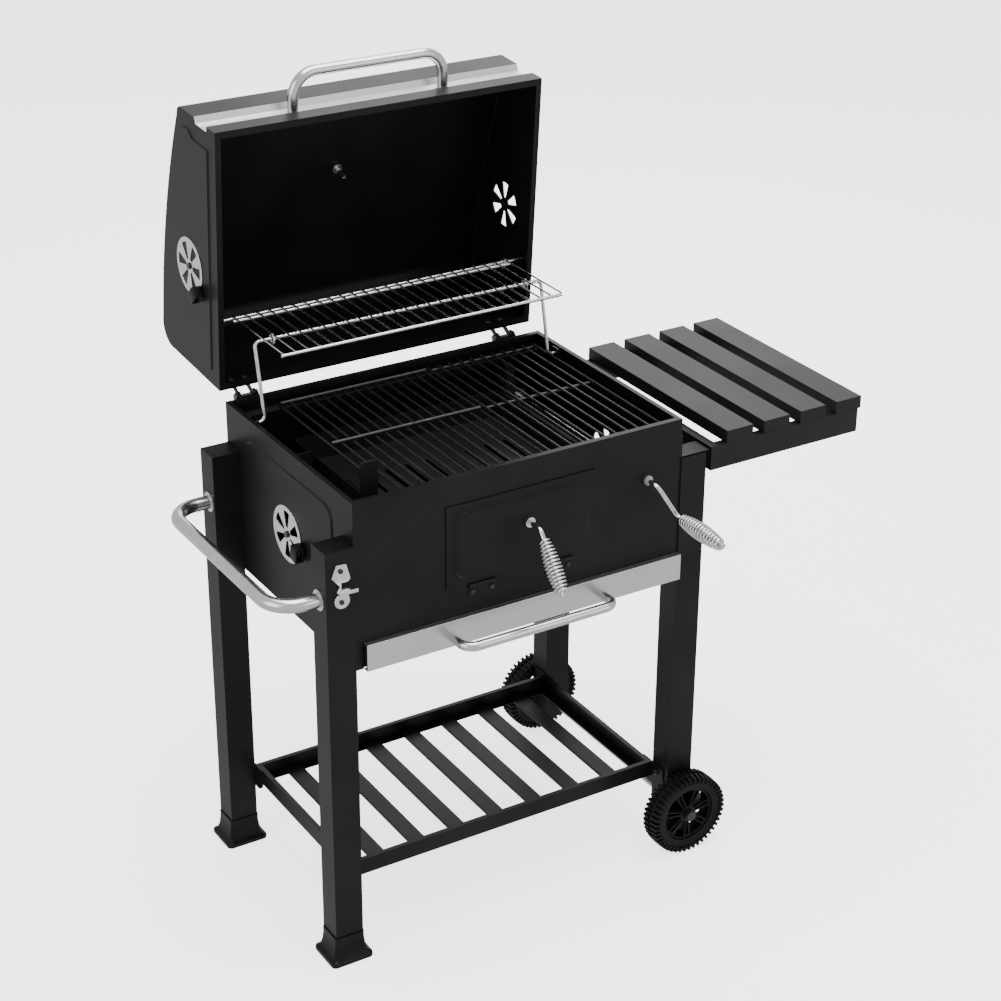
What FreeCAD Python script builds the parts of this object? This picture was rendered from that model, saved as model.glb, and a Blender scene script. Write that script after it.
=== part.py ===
"""Wheeled charcoal barbecue with a hinged lid, a side table and a bottom shelf.

Working axes, in millimetres: +X runs from the push handle to the side table, +Y from the
front panel to the back, +Z up from the floor. The finished nodes are moved so that the
origin is the centre of the whole part's box, on the floor.
"""
import FreeCAD, Part
import math
import os

V = FreeCAD.Vector
X_AXIS = V(1, 0, 0)
Y_AXIS = V(0, 1, 0)
Z_AXIS = V(0, 0, 1)

# Driving dimensions -------------------------------------------------------------------

SHEET = 1.5                 # thickness of every folded steel sheet
CLEARANCE = 0.5             # gap between sheets that slide or swing past each other
RUNNING_FIT = 0.05          # radial gap between a turning shaft and its hole

# Firebox
BOX_WIDTH = 600.0
BOX_DEPTH = 434.0
RIM_HEIGHT = 821.0
BOX_BOTTOM = 535.0
RIM_FLANGE_FRONT = 10.0
RIM_FLANGE_SIDE = 8.0
SIDE_EMBOSS = 2.0
SIDE_EMBOSS_MARGIN_Y = 66.0
SIDE_EMBOSS_BOTTOM = 590.0
SIDE_EMBOSS_TOP = 786.0
EMBOSS_CORNER = 30.0

# Legs, feet and wheels
LEG_X = 49.0
LEG_Y = 45.0
LEG_WALL = 1.5
LEG_TOP = 750.0
LEG_FRONT_FACE = -2.5
RIGHT_LEG_BOTTOM = 50.0
FOOT_HEIGHT = 48.0
FOOT_COLLAR = 2.0
FOOT_FLARE = 13.0
FOOT_FLOOR = 8.0
WHEEL_RADIUS = 75.0
WHEEL_WIDTH = 32.0
WHEEL_GAP = 3.0
HUB_RIM_RADIUS = 50.0
HUB_BOSS_RADIUS = 14.0
SPOKES = 7
AXLE_RADIUS = 5.0
NUT_LENGTH = 7.0

# Bottom shelf
SHELF_TOP = 150.0
SHELF_RAIL_HEIGHT = 29.0
SHELF_FLANGE = 18.0
SHELF_LIP = 8.0
SHELF_END_GAP = 2.5
SHELF_SLATS = 7
SHELF_SLAT_WIDTH = 29.0
SHELF_SLAT_PITCH = 77.0
SHELF_SLAT_DEPTH = 6.0
SHELF_BRACKET_REACH = 26.0
SHELF_BRACKET_DROP = 14.0

# Side table
TABLE_TOP = 779.0
TABLE_SLAT_DEPTH = 22.0
TABLE_SLAT_WIDTH = 53.0
TABLE_SLAT_PITCH = 75.5
TABLE_SLATS = 4
TABLE_FIRST_SLAT = 31.0     # from the table's inner rail to the first slat
TABLE_GAP = 10.0            # between the right legs and the table
TABLE_LENGTH = 305.0
TABLE_DEPTH = 410.0
TABLE_RAIL_HEIGHT = 42.0
TABLE_RAIL_WIDTH = 16.0
TABLE_ARM_WIDTH = 38.0
TABLE_ARM_THICKNESS = 3.0

# Push handle
PUSH_RADIUS = 11.5
PUSH_BORE = 10.0
PUSH_REACH = 73.0
PUSH_BEND = 48.0
PUSH_HEIGHT = 664.0
PUSH_INSET = 5.0            # leg centre line to the tube's end, towards the cart's middle
PUSH_FLANGE_RADIUS = 17.0
PUSH_FLANGE = 2.0

# Lid, described closed
LID_OPEN_ANGLE = 86.0
LID_GAP = 2.0               # between the closed lid and the firebox rim
LID_OVERHANG = 5.5
LID_INSET = 2.5             # from the firebox's sides to the lid's sides
LID_FLANGE = 10.0
LID_BACK_WALL = 183.0
LID_BACK_TOP = (45.0, 219.5)        # (from the back face, above the lid's rim)
LID_CROWN = (239.0, 195.0)
LID_FRONT_TOP = 140.5
LID_FRONT_SHOULDER = 126.0
LID_CORNER = 15.0
RECESS_DEPTH = 11.0
RECESS_BOTTOM = 30.0
RECESS_TOP = 74.0
RECESS_CURVE = 5.0
STRIP_HEIGHT = 42.0
STRIP_THICKNESS = 1.2
STRIP_EDGE_GAP = 0.3
LID_EMBOSS_MARGIN = 26.0
LID_HANDLE_RADIUS = 9.0
LID_HANDLE_SPAN = 274.0
LID_HANDLE_REACH = 65.0
LID_HANDLE_BEND = 40.0

# Lid hinges
PIVOT_BEHIND = 19.0         # behind the firebox's back face
PIVOT_BELOW = 6.0           # below the firebox's rim
HINGE_POSITIONS = (46.0, 541.0)
HINGE_WIDTH = 54.0
HINGE_EAR_SPAN = 33.0
HINGE_EAR = 2.5
HINGE_EAR_RADIUS = 9.0
HINGE_PIN_RADIUS = 3.5
HINGE_PLATE = 2.0
HINGE_PLATE_HEIGHT = 30.0

# Thermometer in the lid
GAUGE_FROM_BACK = 270.0
GAUGE_X = 312.0
GAUGE_RADIUS = 38.0
GAUGE_DEPTH = 14.0
GAUGE_STEM_RADIUS = 3.0
GAUGE_STEM_LENGTH = 34.0
GAUGE_NUT_RADIUS = 9.0
GAUGE_NUT_LENGTH = 6.0

# Air vents
VENT_RADIUS = 48.0
VENT_THICKNESS = 1.2
VENT_SLOTS = 6
VENT_SLOT_INNER = 12.0
VENT_SLOT_OUTER = 40.0
VENT_SLOT_ANGLE = 28.0
VENT_KNOB_RADIUS = 52.0     # vent's centre to the middle of the knob over its rim
VENT_KNOB = (26.0, 20.0, 16.0)      # along the rim, across it, out from the disc
VENT_SLOT_FROM_KNOB = 20.0          # angle from the knob to the next slot
BOX_VENT_KNOB_ANGLE = 190.0
BOX_VENT_PANEL_SLOT = 30.0          # the firebox's vents stand open
LID_VENT_KNOB_ANGLE = 311.0
OPEN_LID_VENT_KNOB_ANGLE = 340.0
LID_VENT_PANEL_SLOT = 0.0           # the lid's left vent stands closed
VENT_RIVET_RADIUS = 3.0
VENT_RIVET_HEAD = 5.5
BOX_VENT_HEIGHT = 676.0
LID_VENT_FROM_BACK = 183.5
LID_VENT_ABOVE_RIM = 99.5

# Warming rack and its swinging leg frame
RACK_ARM = (27.0, 126.0)            # lid pivot to the rack's rear bar, lid open (Y, Z)
RACK_FOOT = (353.0, 812.0)          # leg frame's pivot on the firebox (Y, Z)
RACK_REAR_INSET = 26.0
RACK_DEPTH = 180.0
RACK_INSET = 40.0
RACK_BAR_RADIUS = 3.0
RACK_WIRE_RADIUS = 1.5
RACK_WIRES = 25
RACK_SECOND_BAR = 12.0
RACK_RING_RADIUS = 7.5
RACK_RING_WIRE = 2.0
LEG_FRAME_INSET = 31.0
LEG_FRAME_BEND = 9.0
EYE_OFFSET = 14.0
EYE_THICKNESS = 2.5
EYE_HALF = 9.0

# Cooking grates
GRATE_LEVEL = 805.0
GRATE_WIRE_RADIUS = 2.0
GRATE_BAR_RADIUS = 3.0
GRATE_FRONT = 14.0
GRATE_BACK = 420.0
GRATE_LEFT_START = 88.0
GRATE_SPLIT = 367.0
GRATE_RIGHT_END = 582.0     # just inside the rack leg's eye and the rim
GRATE_GAP = 2.0
GRATE_PITCH = 19.5
GRATE_NOTCH = 142.0         # where the left grate's first wire starts, behind the lift's tab
LEDGE_WIDTH = 22.0

# Charcoal pan, its lift frame and the crank
PAN_LEFT = 106.0
PAN_RIGHT = 500.0
PAN_FRONT = 26.0
PAN_BACK = 406.0
PAN_BOTTOM = 692.0
PAN_DEPTH = 48.0
PAN_SLOTS = 9
PAN_SLOT_WIDTH = 7.0
PAN_TRAVEL = 56.0
LIFT_BAR = 6.0
LIFT_BAR_WIDTH = 16.0
LIFT_BAR_INSET = 79.0
LIFT_TAB_WIDTH = 30.0
LIFT_TAB_TOP = 828.0
CRANK_X = 533.0
CRANK_Z = 730.0
CRANK_RADIUS = 4.0
CRANK_REACH = 32.0
CRANK_ARM = (41.0, -63.0)           # shaft to grip, (X, Z)
CRANK_BEND = 11.0
CRANK_GRIP_LENGTH = 108.0
GRIP_END_RADIUS = 8.5
GRIP_MIDDLE_RADIUS = 14.5
GEAR_MODULE = 2.0
PINION_TEETH = 12
GEAR_WIDTH = 10.0
GEAR_INSET = 40.0
PRESSURE_ANGLE = 20.0
RACK_TOOTH_TIP = 1.4
GEAR_TIP_GAP = 0.4
GEAR_BACKLASH = 0.5
RACK_LOW = 716.0
RACK_HIGH = 793.0
GUIDE_WIDTH = 20.0
GUIDE_DEPTH = 13.0
TONGUE = 3.0
GUIDE_LOW = 600.0
GUIDE_HIGH = 790.0

# Fuel door
DOOR_LEFT = 160.0
DOOR_WIDTH = 272.0
DOOR_BOTTOM = 632.0
DOOR_TOP = 774.0
DOOR_LAP = 10.0
DOOR_EMBOSS = 5.0
DOOR_EMBOSS_MARGIN = 12.0
DOOR_CORNER = 24.0
DOOR_HINGE_OFFSET = 40.0            # from the door's side to the middle of a hinge
DOOR_HINGE_WIDTH = 50.0
DOOR_HINGE_HEIGHT = 17.0
DOOR_PIN_RADIUS = 1.5
DOOR_KNUCKLE_RADIUS = 3.0
DOOR_HANDLE_X = 306.0
DOOR_HANDLE_Z = 717.0
DOOR_HANDLE_OUT = 34.0
DOOR_HANDLE_END = (-110.0, 632.0)
DOOR_GRIP_START = 0.14
DOOR_GRIP_END = 0.97

# Ash drawer
DRAWER_TOP = 581.0
DRAWER_LEFT = 14.0
DRAWER_STANDOFF = 12.0
TRAY_INSET = 17.0
TRAY_FLOOR = 538.5
TRAY_HEIGHT = 33.0
TRAY_BACK = 424.0
RUNNER_WIDTH = 30.0
DRAWER_HANDLE_RADIUS = 8.0
DRAWER_HANDLE_SPAN = 277.0
DRAWER_HANDLE_REACH = 50.0
DRAWER_HANDLE_BEND = 20.0
DRAWER_HANDLE_HEIGHT = 22.0

# Bottle opener on the front left leg
OPENER_SCREW_HEIGHT = 717.0
OPENER_SCREWS = ((0.0, 0.0), (1.0, -53.0))      # (along X, up) from the upper screw
OPENER_OUTLINE = ((-7.0, 11.0), (10.0, 10.0), (17.0, -16.0), (12.0, -20.0), (12.0, -42.0),
                  (-2.0, -42.0), (2.0, -30.0), (-15.0, -9.0))
OPENER_EAR = (2.0, -51.0, 13.0)      # (along X, up, radius)
OPENER_WINDOW = (1.0, 13.0, -26.0, -20.0)
OPENER_TONGUE = ((0.0, 0.0), (13.0, 0.0), (23.0, 15.0), (21.0, 19.0), (-11.0, 19.0),
                 (-13.0, 15.0))      # (along X, outwards)
OPENER_TONGUE_DROP = 28.0
OPENER_TIP = 4.0
OPENER_SHEET = 2.0

# Fasteners
BOLT_HEAD_RADIUS = 5.5
BOLT_HEAD_HEIGHT = 3.0
SCREW_HEAD_RADIUS = 4.0
SCREW_HEAD_HEIGHT = 2.5
CRANK_NUT_RADIUS = 8.5
CRANK_NUT_LENGTH = 6.0

# Places worked out from the driving dimensions ------------------------------------------

LEG_BACK_FACE = BOX_DEPTH - 0.5
BACK_LEG_FRONT = LEG_BACK_FACE - LEG_Y
LEG_RIGHT = BOX_WIDTH + LEG_X
AXLE_X = BOX_WIDTH + LEG_X / 2
PIVOT_Y = BOX_DEPTH + PIVOT_BEHIND
PIVOT_Z = RIM_HEIGHT - PIVOT_BELOW
LID_FRONT = -LID_OVERHANG
LID_BACK = BOX_DEPTH + LID_OVERHANG
LID_DEPTH = LID_BACK - LID_FRONT
LID_BOTTOM = RIM_HEIGHT + LID_GAP
LID_LEFT = LID_INSET
LID_RIGHT = BOX_WIDTH - LID_INSET
BOX_MIDDLE_X = BOX_WIDTH / 2
BOX_MIDDLE_Y = BOX_DEPTH / 2
TABLE_LEFT = LEG_RIGHT + TABLE_GAP
TABLE_RIGHT = TABLE_LEFT + TABLE_LENGTH
TABLE_FRONT = LEG_FRONT_FACE + 0.5
TABLE_BACK = TABLE_FRONT + TABLE_DEPTH
TABLE_RAIL_TOP = TABLE_TOP - TABLE_SLAT_DEPTH
DOOR_RIGHT = DOOR_LEFT + DOOR_WIDTH
DOOR_HINGE_Y = -(SHEET + CLEARANCE + DOOR_KNUCKLE_RADIUS - SHEET)
DOOR_HINGE_Z = DOOR_BOTTOM - DOOR_KNUCKLE_RADIUS
DRAWER_RIGHT = BOX_WIDTH
DRAWER_HANDLE_Z = BOX_BOTTOM + DRAWER_HANDLE_HEIGHT
PITCH_RADIUS = GEAR_MODULE * PINION_TEETH / 2
RACK_PITCH_X = CRANK_X - PITCH_RADIUS
CRANK_GRIP_X = CRANK_X + CRANK_ARM[0]
CRANK_GRIP_Z = CRANK_Z + CRANK_ARM[1]
RACK_REAR = (PIVOT_Y + RACK_ARM[0], PIVOT_Z + RACK_ARM[1])
RACK_CROSSBAR = (RACK_FOOT[0] + RACK_ARM[0], RACK_FOOT[1] + RACK_ARM[1])
VENT_STANDOFF = 0.2


# Shape helpers ----------------------------------------------------------------------------

def block(x0, x1, y0, y1, z0, z1):
    """A box between two corners."""
    return Part.makeBox(x1 - x0, y1 - y0, z1 - z0, V(x0, y0, z0))


def rod(start, end, radius):
    """A round bar between two points."""
    start = V(*start)
    end = V(*end)
    return Part.makeCylinder(radius, (end - start).Length, start, end - start)


def joined(shapes):
    """One solid from shapes that touch or overlap."""
    first, rest = shapes[0], shapes[1:]
    return first.fuse(rest).removeSplitter() if rest else first


def route(points, bend):
    """A path of straight runs joined by tangent arcs of one radius."""
    points = [V(*p) for p in points]
    edges = []
    start = points[0]
    for here, corner, ahead in zip(points, points[1:], points[2:]):
        back = (here - corner).normalize()
        forth = (ahead - corner).normalize()
        half = back.getAngle(forth) / 2
        reach = bend / math.tan(half)
        middle = corner + (back + forth).normalize() * (bend / math.sin(half) - bend)
        edges.append(Part.LineSegment(start, corner + back * reach).toShape())
        arc = Part.Arc(corner + back * reach, middle, corner + forth * reach)
        edges.append(arc.toShape())
        start = corner + forth * reach
    edges.append(Part.LineSegment(start, points[-1]).toShape())
    return Part.Wire(edges)


def bent_bar(points, bend, radius, bore=0.0):
    """A round bar or tube bent along a path."""
    path = route(points, bend)
    direction = V(*points[1]) - V(*points[0])

    def swept(size):
        circle = Part.Wire(Part.makeCircle(size, V(*points[0]), direction))
        return path.makePipeShell([circle], True, False)

    bar = swept(radius)
    return bar.cut(swept(bore)) if bore else bar


def polygon_face(points):
    """A flat face with straight edges."""
    corners = [V(*p) for p in points]
    return Part.Face(Part.makePolygon(corners + corners[:1]))


def rounded_outline(y0, y1, z0, z1, corner, x):
    """A rounded rectangle in the YZ plane at x."""
    k = corner * (1 - math.sqrt(0.5))
    edges = []
    corners = [((y0, z0 + corner), (y0 + k, z0 + k), (y0 + corner, z0), (y1 - corner, z0)),
               ((y1 - corner, z0), (y1 - k, z0 + k), (y1, z0 + corner), (y1, z1 - corner)),
               ((y1, z1 - corner), (y1 - k, z1 - k), (y1 - corner, z1), (y0 + corner, z1)),
               ((y0 + corner, z1), (y0 + k, z1 - k), (y0, z1 - corner), (y0, z0 + corner))]
    for a, m, b, c in corners:
        edges.append(Part.Arc(V(x, *a), V(x, *m), V(x, *b)).toShape())
        edges.append(Part.LineSegment(V(x, *b), V(x, *c)).toShape())
    return Part.Wire(edges)


def raised_pad(y0, y1, z0, z1, corner, x, height):
    """A rounded pad that tapers in by its own height, rising along X from x."""
    inset = abs(height)
    base = rounded_outline(y0, y1, z0, z1, corner, x)
    top = rounded_outline(y0 + inset, y1 - inset, z0 + inset, z1 - inset,
                          corner - inset, x + height)
    return Part.makeLoft([base, top], True, True)


def wedge_slots(centre, x0, x1, inner, outer, count, angle, first=0.0):
    """Ring of wedge-shaped cutters that run along X, about a centre in the YZ plane."""
    ring = Part.makeCylinder(outer, x1 - x0, V(x0, *centre), X_AXIS)
    ring = ring.cut(Part.makeCylinder(inner, x1 - x0, V(x0, *centre), X_AXIS))
    reach = 2 * outer
    half = math.radians(angle / 2)
    cutters = []
    for k in range(count):
        a = math.radians(first) + 2 * math.pi * k / count
        points = [(x0, *centre)]
        for side in (-half, half):
            points.append((x0, centre[0] + reach * math.cos(a + side),
                           centre[1] + reach * math.sin(a + side)))
        wedge = polygon_face(points).extrude(V(x1 - x0, 0, 0))
        cutters.append(wedge.common(ring))
    return cutters


def barrel(start, end, end_radius, middle_radius, bore):
    """A barrel-shaped grip with a hole for the rod that it is on."""
    start, end = V(*start), V(*end)
    length = (end - start).Length
    arc = Part.Arc(V(end_radius, 0, 0), V(middle_radius, 0, length / 2),
                   V(end_radius, 0, length)).toShape()
    edges = [Part.LineSegment(V(bore, 0, 0), V(end_radius, 0, 0)).toShape(), arc,
             Part.LineSegment(V(end_radius, 0, length), V(bore, 0, length)).toShape(),
             Part.LineSegment(V(bore, 0, length), V(bore, 0, 0)).toShape()]
    body = Part.Face(Part.Wire(edges)).revolve(V(0, 0, 0), Z_AXIS, 360)
    turn = FreeCAD.Rotation(Z_AXIS, end - start)
    body.Placement = FreeCAD.Placement(start, turn)
    return body


def domed_head(base, axis, radius, height):
    """A low round bolt head standing on a surface."""
    axis = V(*axis).normalize()
    head = Part.makeCylinder(radius, height, V(*base), axis)
    rim = [e for e in head.Edges if e.Length < 2 * math.pi * radius * 1.01
           and abs((e.CenterOfMass - V(*base)).dot(axis) - height) < 1e-6
           and e.Curve.TypeId == "Part::GeomCircle"]
    return head.makeFillet(0.45 * height, rim)


def square_tube(x0, x1, y0, y1, z0, z1, wall):
    """An upright square tube."""
    outer = block(x0, x1, y0, y1, z0, z1)
    return outer.cut(block(x0 + wall, x1 - wall, y0 + wall, y1 - wall, z0 - 1, z1 + 1))


def group(shapes):
    """Several separate solids kept in one node."""
    return Part.makeCompound(shapes)


# Firebox ------------------------------------------------------------------------------------

def firebox_front():
    """Front panel with its rim flange, fuel opening, drawer opening and crank hole."""
    plate = block(0, BOX_WIDTH, 0, SHEET, BOX_BOTTOM, RIM_HEIGHT)
    flange = block(SHEET, BOX_WIDTH - SHEET, SHEET, RIM_FLANGE_FRONT, RIM_HEIGHT - SHEET,
                   RIM_HEIGHT)
    panel = joined([plate, flange])
    fuel = block(DOOR_LEFT + DOOR_LAP, DOOR_RIGHT - DOOR_LAP, -1, SHEET + 1,
                 DOOR_BOTTOM + DOOR_LAP, DOOR_TOP - DOOR_LAP)
    ash = block(DRAWER_LEFT, BOX_WIDTH - DRAWER_LEFT, -1, SHEET + 1,
                BOX_BOTTOM - 1, DRAWER_TOP - 4)
    shaft = rod((CRANK_X, -1, CRANK_Z), (CRANK_X, SHEET + 1, CRANK_Z), CRANK_RADIUS + 2)
    return panel.cut([fuel, ash, shaft])


def firebox_back():
    """Back panel, whose rim is folded inwards in a step and down again."""
    inner = BOX_DEPTH - RIM_FLANGE_FRONT
    plate = block(0, BOX_WIDTH, BOX_DEPTH - SHEET, BOX_DEPTH, BOX_BOTTOM, RIM_HEIGHT)
    flange = block(SHEET, BOX_WIDTH - SHEET, inner, BOX_DEPTH - SHEET, RIM_HEIGHT - SHEET,
                   RIM_HEIGHT)
    hem = block(0 + RIM_FLANGE_SIDE, BOX_WIDTH - RIM_FLANGE_SIDE, inner, inner + SHEET,
                RIM_HEIGHT - 8, RIM_HEIGHT - SHEET)
    return joined([plate, flange, hem])


def firebox_side(right):
    """Side panel with its rim flange, raised field, vent slots and rack eye."""
    outside = BOX_WIDTH if right else 0.0
    inward = -1 if right else 1

    def span(near, far):
        return sorted((outside + inward * near, outside + inward * far))

    plate = block(*span(0, SHEET), SHEET, BOX_DEPTH - SHEET, BOX_BOTTOM, RIM_HEIGHT)
    flange = block(*span(SHEET, RIM_FLANGE_SIDE), RIM_FLANGE_FRONT,
                   BOX_DEPTH - RIM_FLANGE_FRONT, RIM_HEIGHT - SHEET, RIM_HEIGHT)
    field = (SIDE_EMBOSS_MARGIN_Y, BOX_DEPTH - SIDE_EMBOSS_MARGIN_Y,
             SIDE_EMBOSS_BOTTOM, SIDE_EMBOSS_TOP, EMBOSS_CORNER)
    raised = raised_pad(*field, outside, -inward * SIDE_EMBOSS)
    hollow = raised_pad(*field, outside + inward * SHEET, -inward * SIDE_EMBOSS)
    slots = wedge_slots((BOX_MIDDLE_Y, BOX_VENT_HEIGHT), *span(-5, 5), VENT_SLOT_INNER,
                        VENT_SLOT_OUTER, VENT_SLOTS, VENT_SLOT_ANGLE, BOX_VENT_PANEL_SLOT)
    rivet = rod((outside - 6, BOX_MIDDLE_Y, BOX_VENT_HEIGHT),
                (outside + 6, BOX_MIDDLE_Y, BOX_VENT_HEIGHT), VENT_RIVET_RADIUS)
    panel = plate.fuse([flange, raised]).removeSplitter()
    panel = panel.cut([hollow, rivet] + slots)
    lug = eye_lug(outside, inward, RACK_FOOT, -1)
    return panel.fuse(lug).removeSplitter()


def eye_lug(wall, inward, centre, side):
    """Lug with a hole that holds a wire's end beside a wall; side is where its web is."""
    near = wall + inward * EYE_OFFSET
    far = near + inward * EYE_THICKNESS
    x0, x1 = sorted((near, far))
    y, z = centre
    plate = block(x0, x1, y - EYE_HALF, y + EYE_HALF, z - EYE_HALF, z + EYE_HALF)
    hole = rod((x0 - 1, y, z), (x1 + 1, y, z), RACK_BAR_RADIUS + RUNNING_FIT)
    w0, w1 = sorted((wall + inward * SHEET, near))
    z0, z1 = sorted((z + side * EYE_HALF, z + side * (EYE_HALF - EYE_THICKNESS)))
    web = block(w0, w1, y - EYE_HALF, y + EYE_HALF, z0, z1)
    return joined([plate, web]).cut(hole)


def drawer_runners():
    """Two angles along the firebox's sides that carry the ash drawer."""
    runners = []
    for side in (0, 1):
        wall = side * BOX_WIDTH
        inward = 1 - 2 * side
        x = [wall + inward * d for d in (SHEET, 2 * SHEET, RUNNER_WIDTH)]
        y0, y1 = SHEET, BOX_DEPTH - SHEET
        upright = block(*sorted(x[:2]), y0, y1, BOX_BOTTOM, TRAY_FLOOR + TRAY_HEIGHT)
        ledge = block(*sorted(x[::2]), y0, y1, TRAY_FLOOR - CLEARANCE - SHEET,
                      TRAY_FLOOR - CLEARANCE)
        runners.append(joined([upright, ledge]))
    return group(runners)


def grate_ledges():
    """Angles along the front and the back that the cooking grates rest on."""
    top = GRATE_LEVEL - GRATE_WIRE_RADIUS - 2 * GRATE_BAR_RADIUS
    ledges = []
    for wall, inward in ((SHEET, 1), (BOX_DEPTH - SHEET, -1)):
        y = [wall + inward * d for d in (0, SHEET, LEDGE_WIDTH)]
        x0, x1 = RIM_FLANGE_SIDE, BOX_WIDTH - RIM_FLANGE_SIDE
        upright = block(x0, x1, *sorted(y[:2]), top - LEDGE_WIDTH, top)
        ledge = block(x0, x1, *sorted(y[::2]), top - SHEET, top)
        ledges.append(joined([upright, ledge]))
    return group(ledges)


# Legs, feet, axle and wheels ---------------------------------------------------------------

def leg(right, back):
    """One square leg; the right ones are cut short above the floor and hold the axle."""
    x0 = BOX_WIDTH if right else -LEG_X
    y0 = BACK_LEG_FRONT if back else LEG_FRONT_FACE
    z0 = RIGHT_LEG_BOTTOM if right else FOOT_FLOOR
    tube = square_tube(x0, x0 + LEG_X, y0, y0 + LEG_Y, z0, LEG_TOP, LEG_WALL)
    cap = block(x0 + LEG_WALL, x0 + LEG_X - LEG_WALL, y0 + LEG_WALL, y0 + LEG_Y - LEG_WALL,
                LEG_TOP - LEG_WALL, LEG_TOP)
    tube = joined([tube, cap])
    if right:
        hole = rod((AXLE_X, y0 - 1, WHEEL_RADIUS), (AXLE_X, y0 + LEG_Y + 1, WHEEL_RADIUS),
                   AXLE_RADIUS)
        tube = tube.cut(hole)
    return tube


def foot(back):
    """Flared plastic foot with a socket for a left leg."""
    y0 = BACK_LEG_FRONT if back else LEG_FRONT_FACE
    middle = V(-LEG_X / 2, y0 + LEG_Y / 2, 0)
    flare = FOOT_FLARE - FOOT_COLLAR
    levels = [(0, FOOT_FLARE), (0.14, FOOT_FLARE)]
    for step in (0.22, 0.34, 0.5, 0.7):
        levels.append((step, FOOT_COLLAR + flare * (1 - step) ** 3))
    levels += [(0.72, FOOT_COLLAR), (1, FOOT_COLLAR)]
    sections = []
    for share, proud in levels:
        hx, hy = LEG_X / 2 + proud, LEG_Y / 2 + proud
        r = 4.0 + proud / 3
        outline = rounded_outline(-hx, hx, -hy, hy, r, 0)
        outline.Placement = FreeCAD.Placement(V(0, 0, 0), FreeCAD.Rotation(Y_AXIS, -90))
        outline.rotate(V(0, 0, 0), Z_AXIS, 90)
        outline.translate(middle + V(0, 0, share * FOOT_HEIGHT))
        sections.append(outline)
    body = Part.makeLoft(sections, True, True)
    socket = block(-LEG_X, 0, y0, y0 + LEG_Y, FOOT_FLOOR, FOOT_HEIGHT + 1)
    return body.cut(socket)


def wheel_centre(back):
    """Middle of a wheel along Y."""
    reach = WHEEL_GAP + WHEEL_WIDTH / 2
    return LEG_BACK_FACE + reach if back else LEG_FRONT_FACE - reach


def revolved_about_axle(profile, y):
    """Solid turned about the axle from (along Y, radius) points, y being its middle."""
    face = polygon_face([(AXLE_X, y + a, WHEEL_RADIUS + r) for a, r in profile])
    return face.revolve(V(AXLE_X, y, WHEEL_RADIUS), Y_AXIS, 360)


def wheel_tyre(back):
    """Moulded tread ring of a wheel."""
    half = WHEEL_WIDTH / 2
    outer = WHEEL_RADIUS
    profile = [(-half, HUB_RIM_RADIUS), (-half, outer - 11), (-half + 3, outer - 3),
               (-half + 7, outer), (half - 7, outer), (half - 3, outer - 3),
               (half, outer - 11), (half, HUB_RIM_RADIUS)]
    return revolved_about_axle(profile, wheel_centre(back))


def wheel_hub(back):
    """Spoked plastic hub of a wheel."""
    y = wheel_centre(back)
    half = WHEEL_WIDTH / 2
    bore = AXLE_RADIUS + RUNNING_FIT
    rim = revolved_about_axle([(-half + 2, HUB_RIM_RADIUS - 5), (-half + 2, HUB_RIM_RADIUS),
                               (half - 2, HUB_RIM_RADIUS), (half - 2, HUB_RIM_RADIUS - 5)], y)
    boss = revolved_about_axle([(-half, bore), (-half, HUB_BOSS_RADIUS),
                                (half, HUB_BOSS_RADIUS), (half, bore)], y)
    spokes = []
    for k in range(SPOKES):
        spoke = block(AXLE_X - 6, AXLE_X + 6, y - half + 5, y + half - 5,
                      WHEEL_RADIUS + HUB_BOSS_RADIUS - 2, WHEEL_RADIUS + HUB_RIM_RADIUS - 3)
        spoke.rotate(V(AXLE_X, y, WHEEL_RADIUS), Y_AXIS, 360.0 * k / SPOKES + 15)
        spokes.append(spoke)
    return joined([rim, boss] + spokes)


def axle_ends():
    """Front and back ends of the axle along Y."""
    reach = WHEEL_GAP + WHEEL_WIDTH + CLEARANCE + NUT_LENGTH - 1
    return LEG_FRONT_FACE - reach, LEG_BACK_FACE + reach


def axle():
    """Round bar through both right legs."""
    front, back = axle_ends()
    return rod((AXLE_X, front, WHEEL_RADIUS), (AXLE_X, back, WHEEL_RADIUS), AXLE_RADIUS)


# Bottom shelf --------------------------------------------------------------------------------

def shelf_edges():
    """Outside faces of the shelf frame."""
    return (SHELF_END_GAP, BOX_WIDTH - SHELF_END_GAP,
            LEG_FRONT_FACE + LEG_Y, BACK_LEG_FRONT)


def shelf_rail(wall, inward, low, high, along_x):
    """One folded rail: a web with a bottom flange and a narrow top lip."""
    bottom = SHELF_TOP - SHELF_RAIL_HEIGHT

    def strip(near, far, z0, z1):
        across = sorted((wall + inward * near, wall + inward * far))
        sides = (low, high, *across) if along_x else (*across, low, high)
        return block(*sides, z0, z1)

    return joined([strip(0, SHEET, bottom, SHELF_TOP),
                   strip(SHEET, SHELF_FLANGE, bottom, bottom + SHEET),
                   strip(SHEET, SHELF_LIP, SHELF_TOP - SHEET, SHELF_TOP)])


def shelf_rails():
    """Front, back, left and right rails of the shelf, in one welded frame."""
    x0, x1, y0, y1 = shelf_edges()
    return joined([shelf_rail(y0, 1, x0, x1, True), shelf_rail(y1, -1, x0, x1, True),
                   shelf_rail(x0, 1, y0, y1, False), shelf_rail(x1, -1, y0, y1, False)])


def channel(x0, width, y0, y1, top, depth):
    """Folded slat: a flat top with both long edges turned down."""
    bar = block(x0, x0 + width, y0, y1, top - depth, top)
    return bar.cut(block(x0 + SHEET, x0 + width - SHEET, y0 - 1, y1 + 1,
                         top - depth - 1, top - SHEET))


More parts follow.
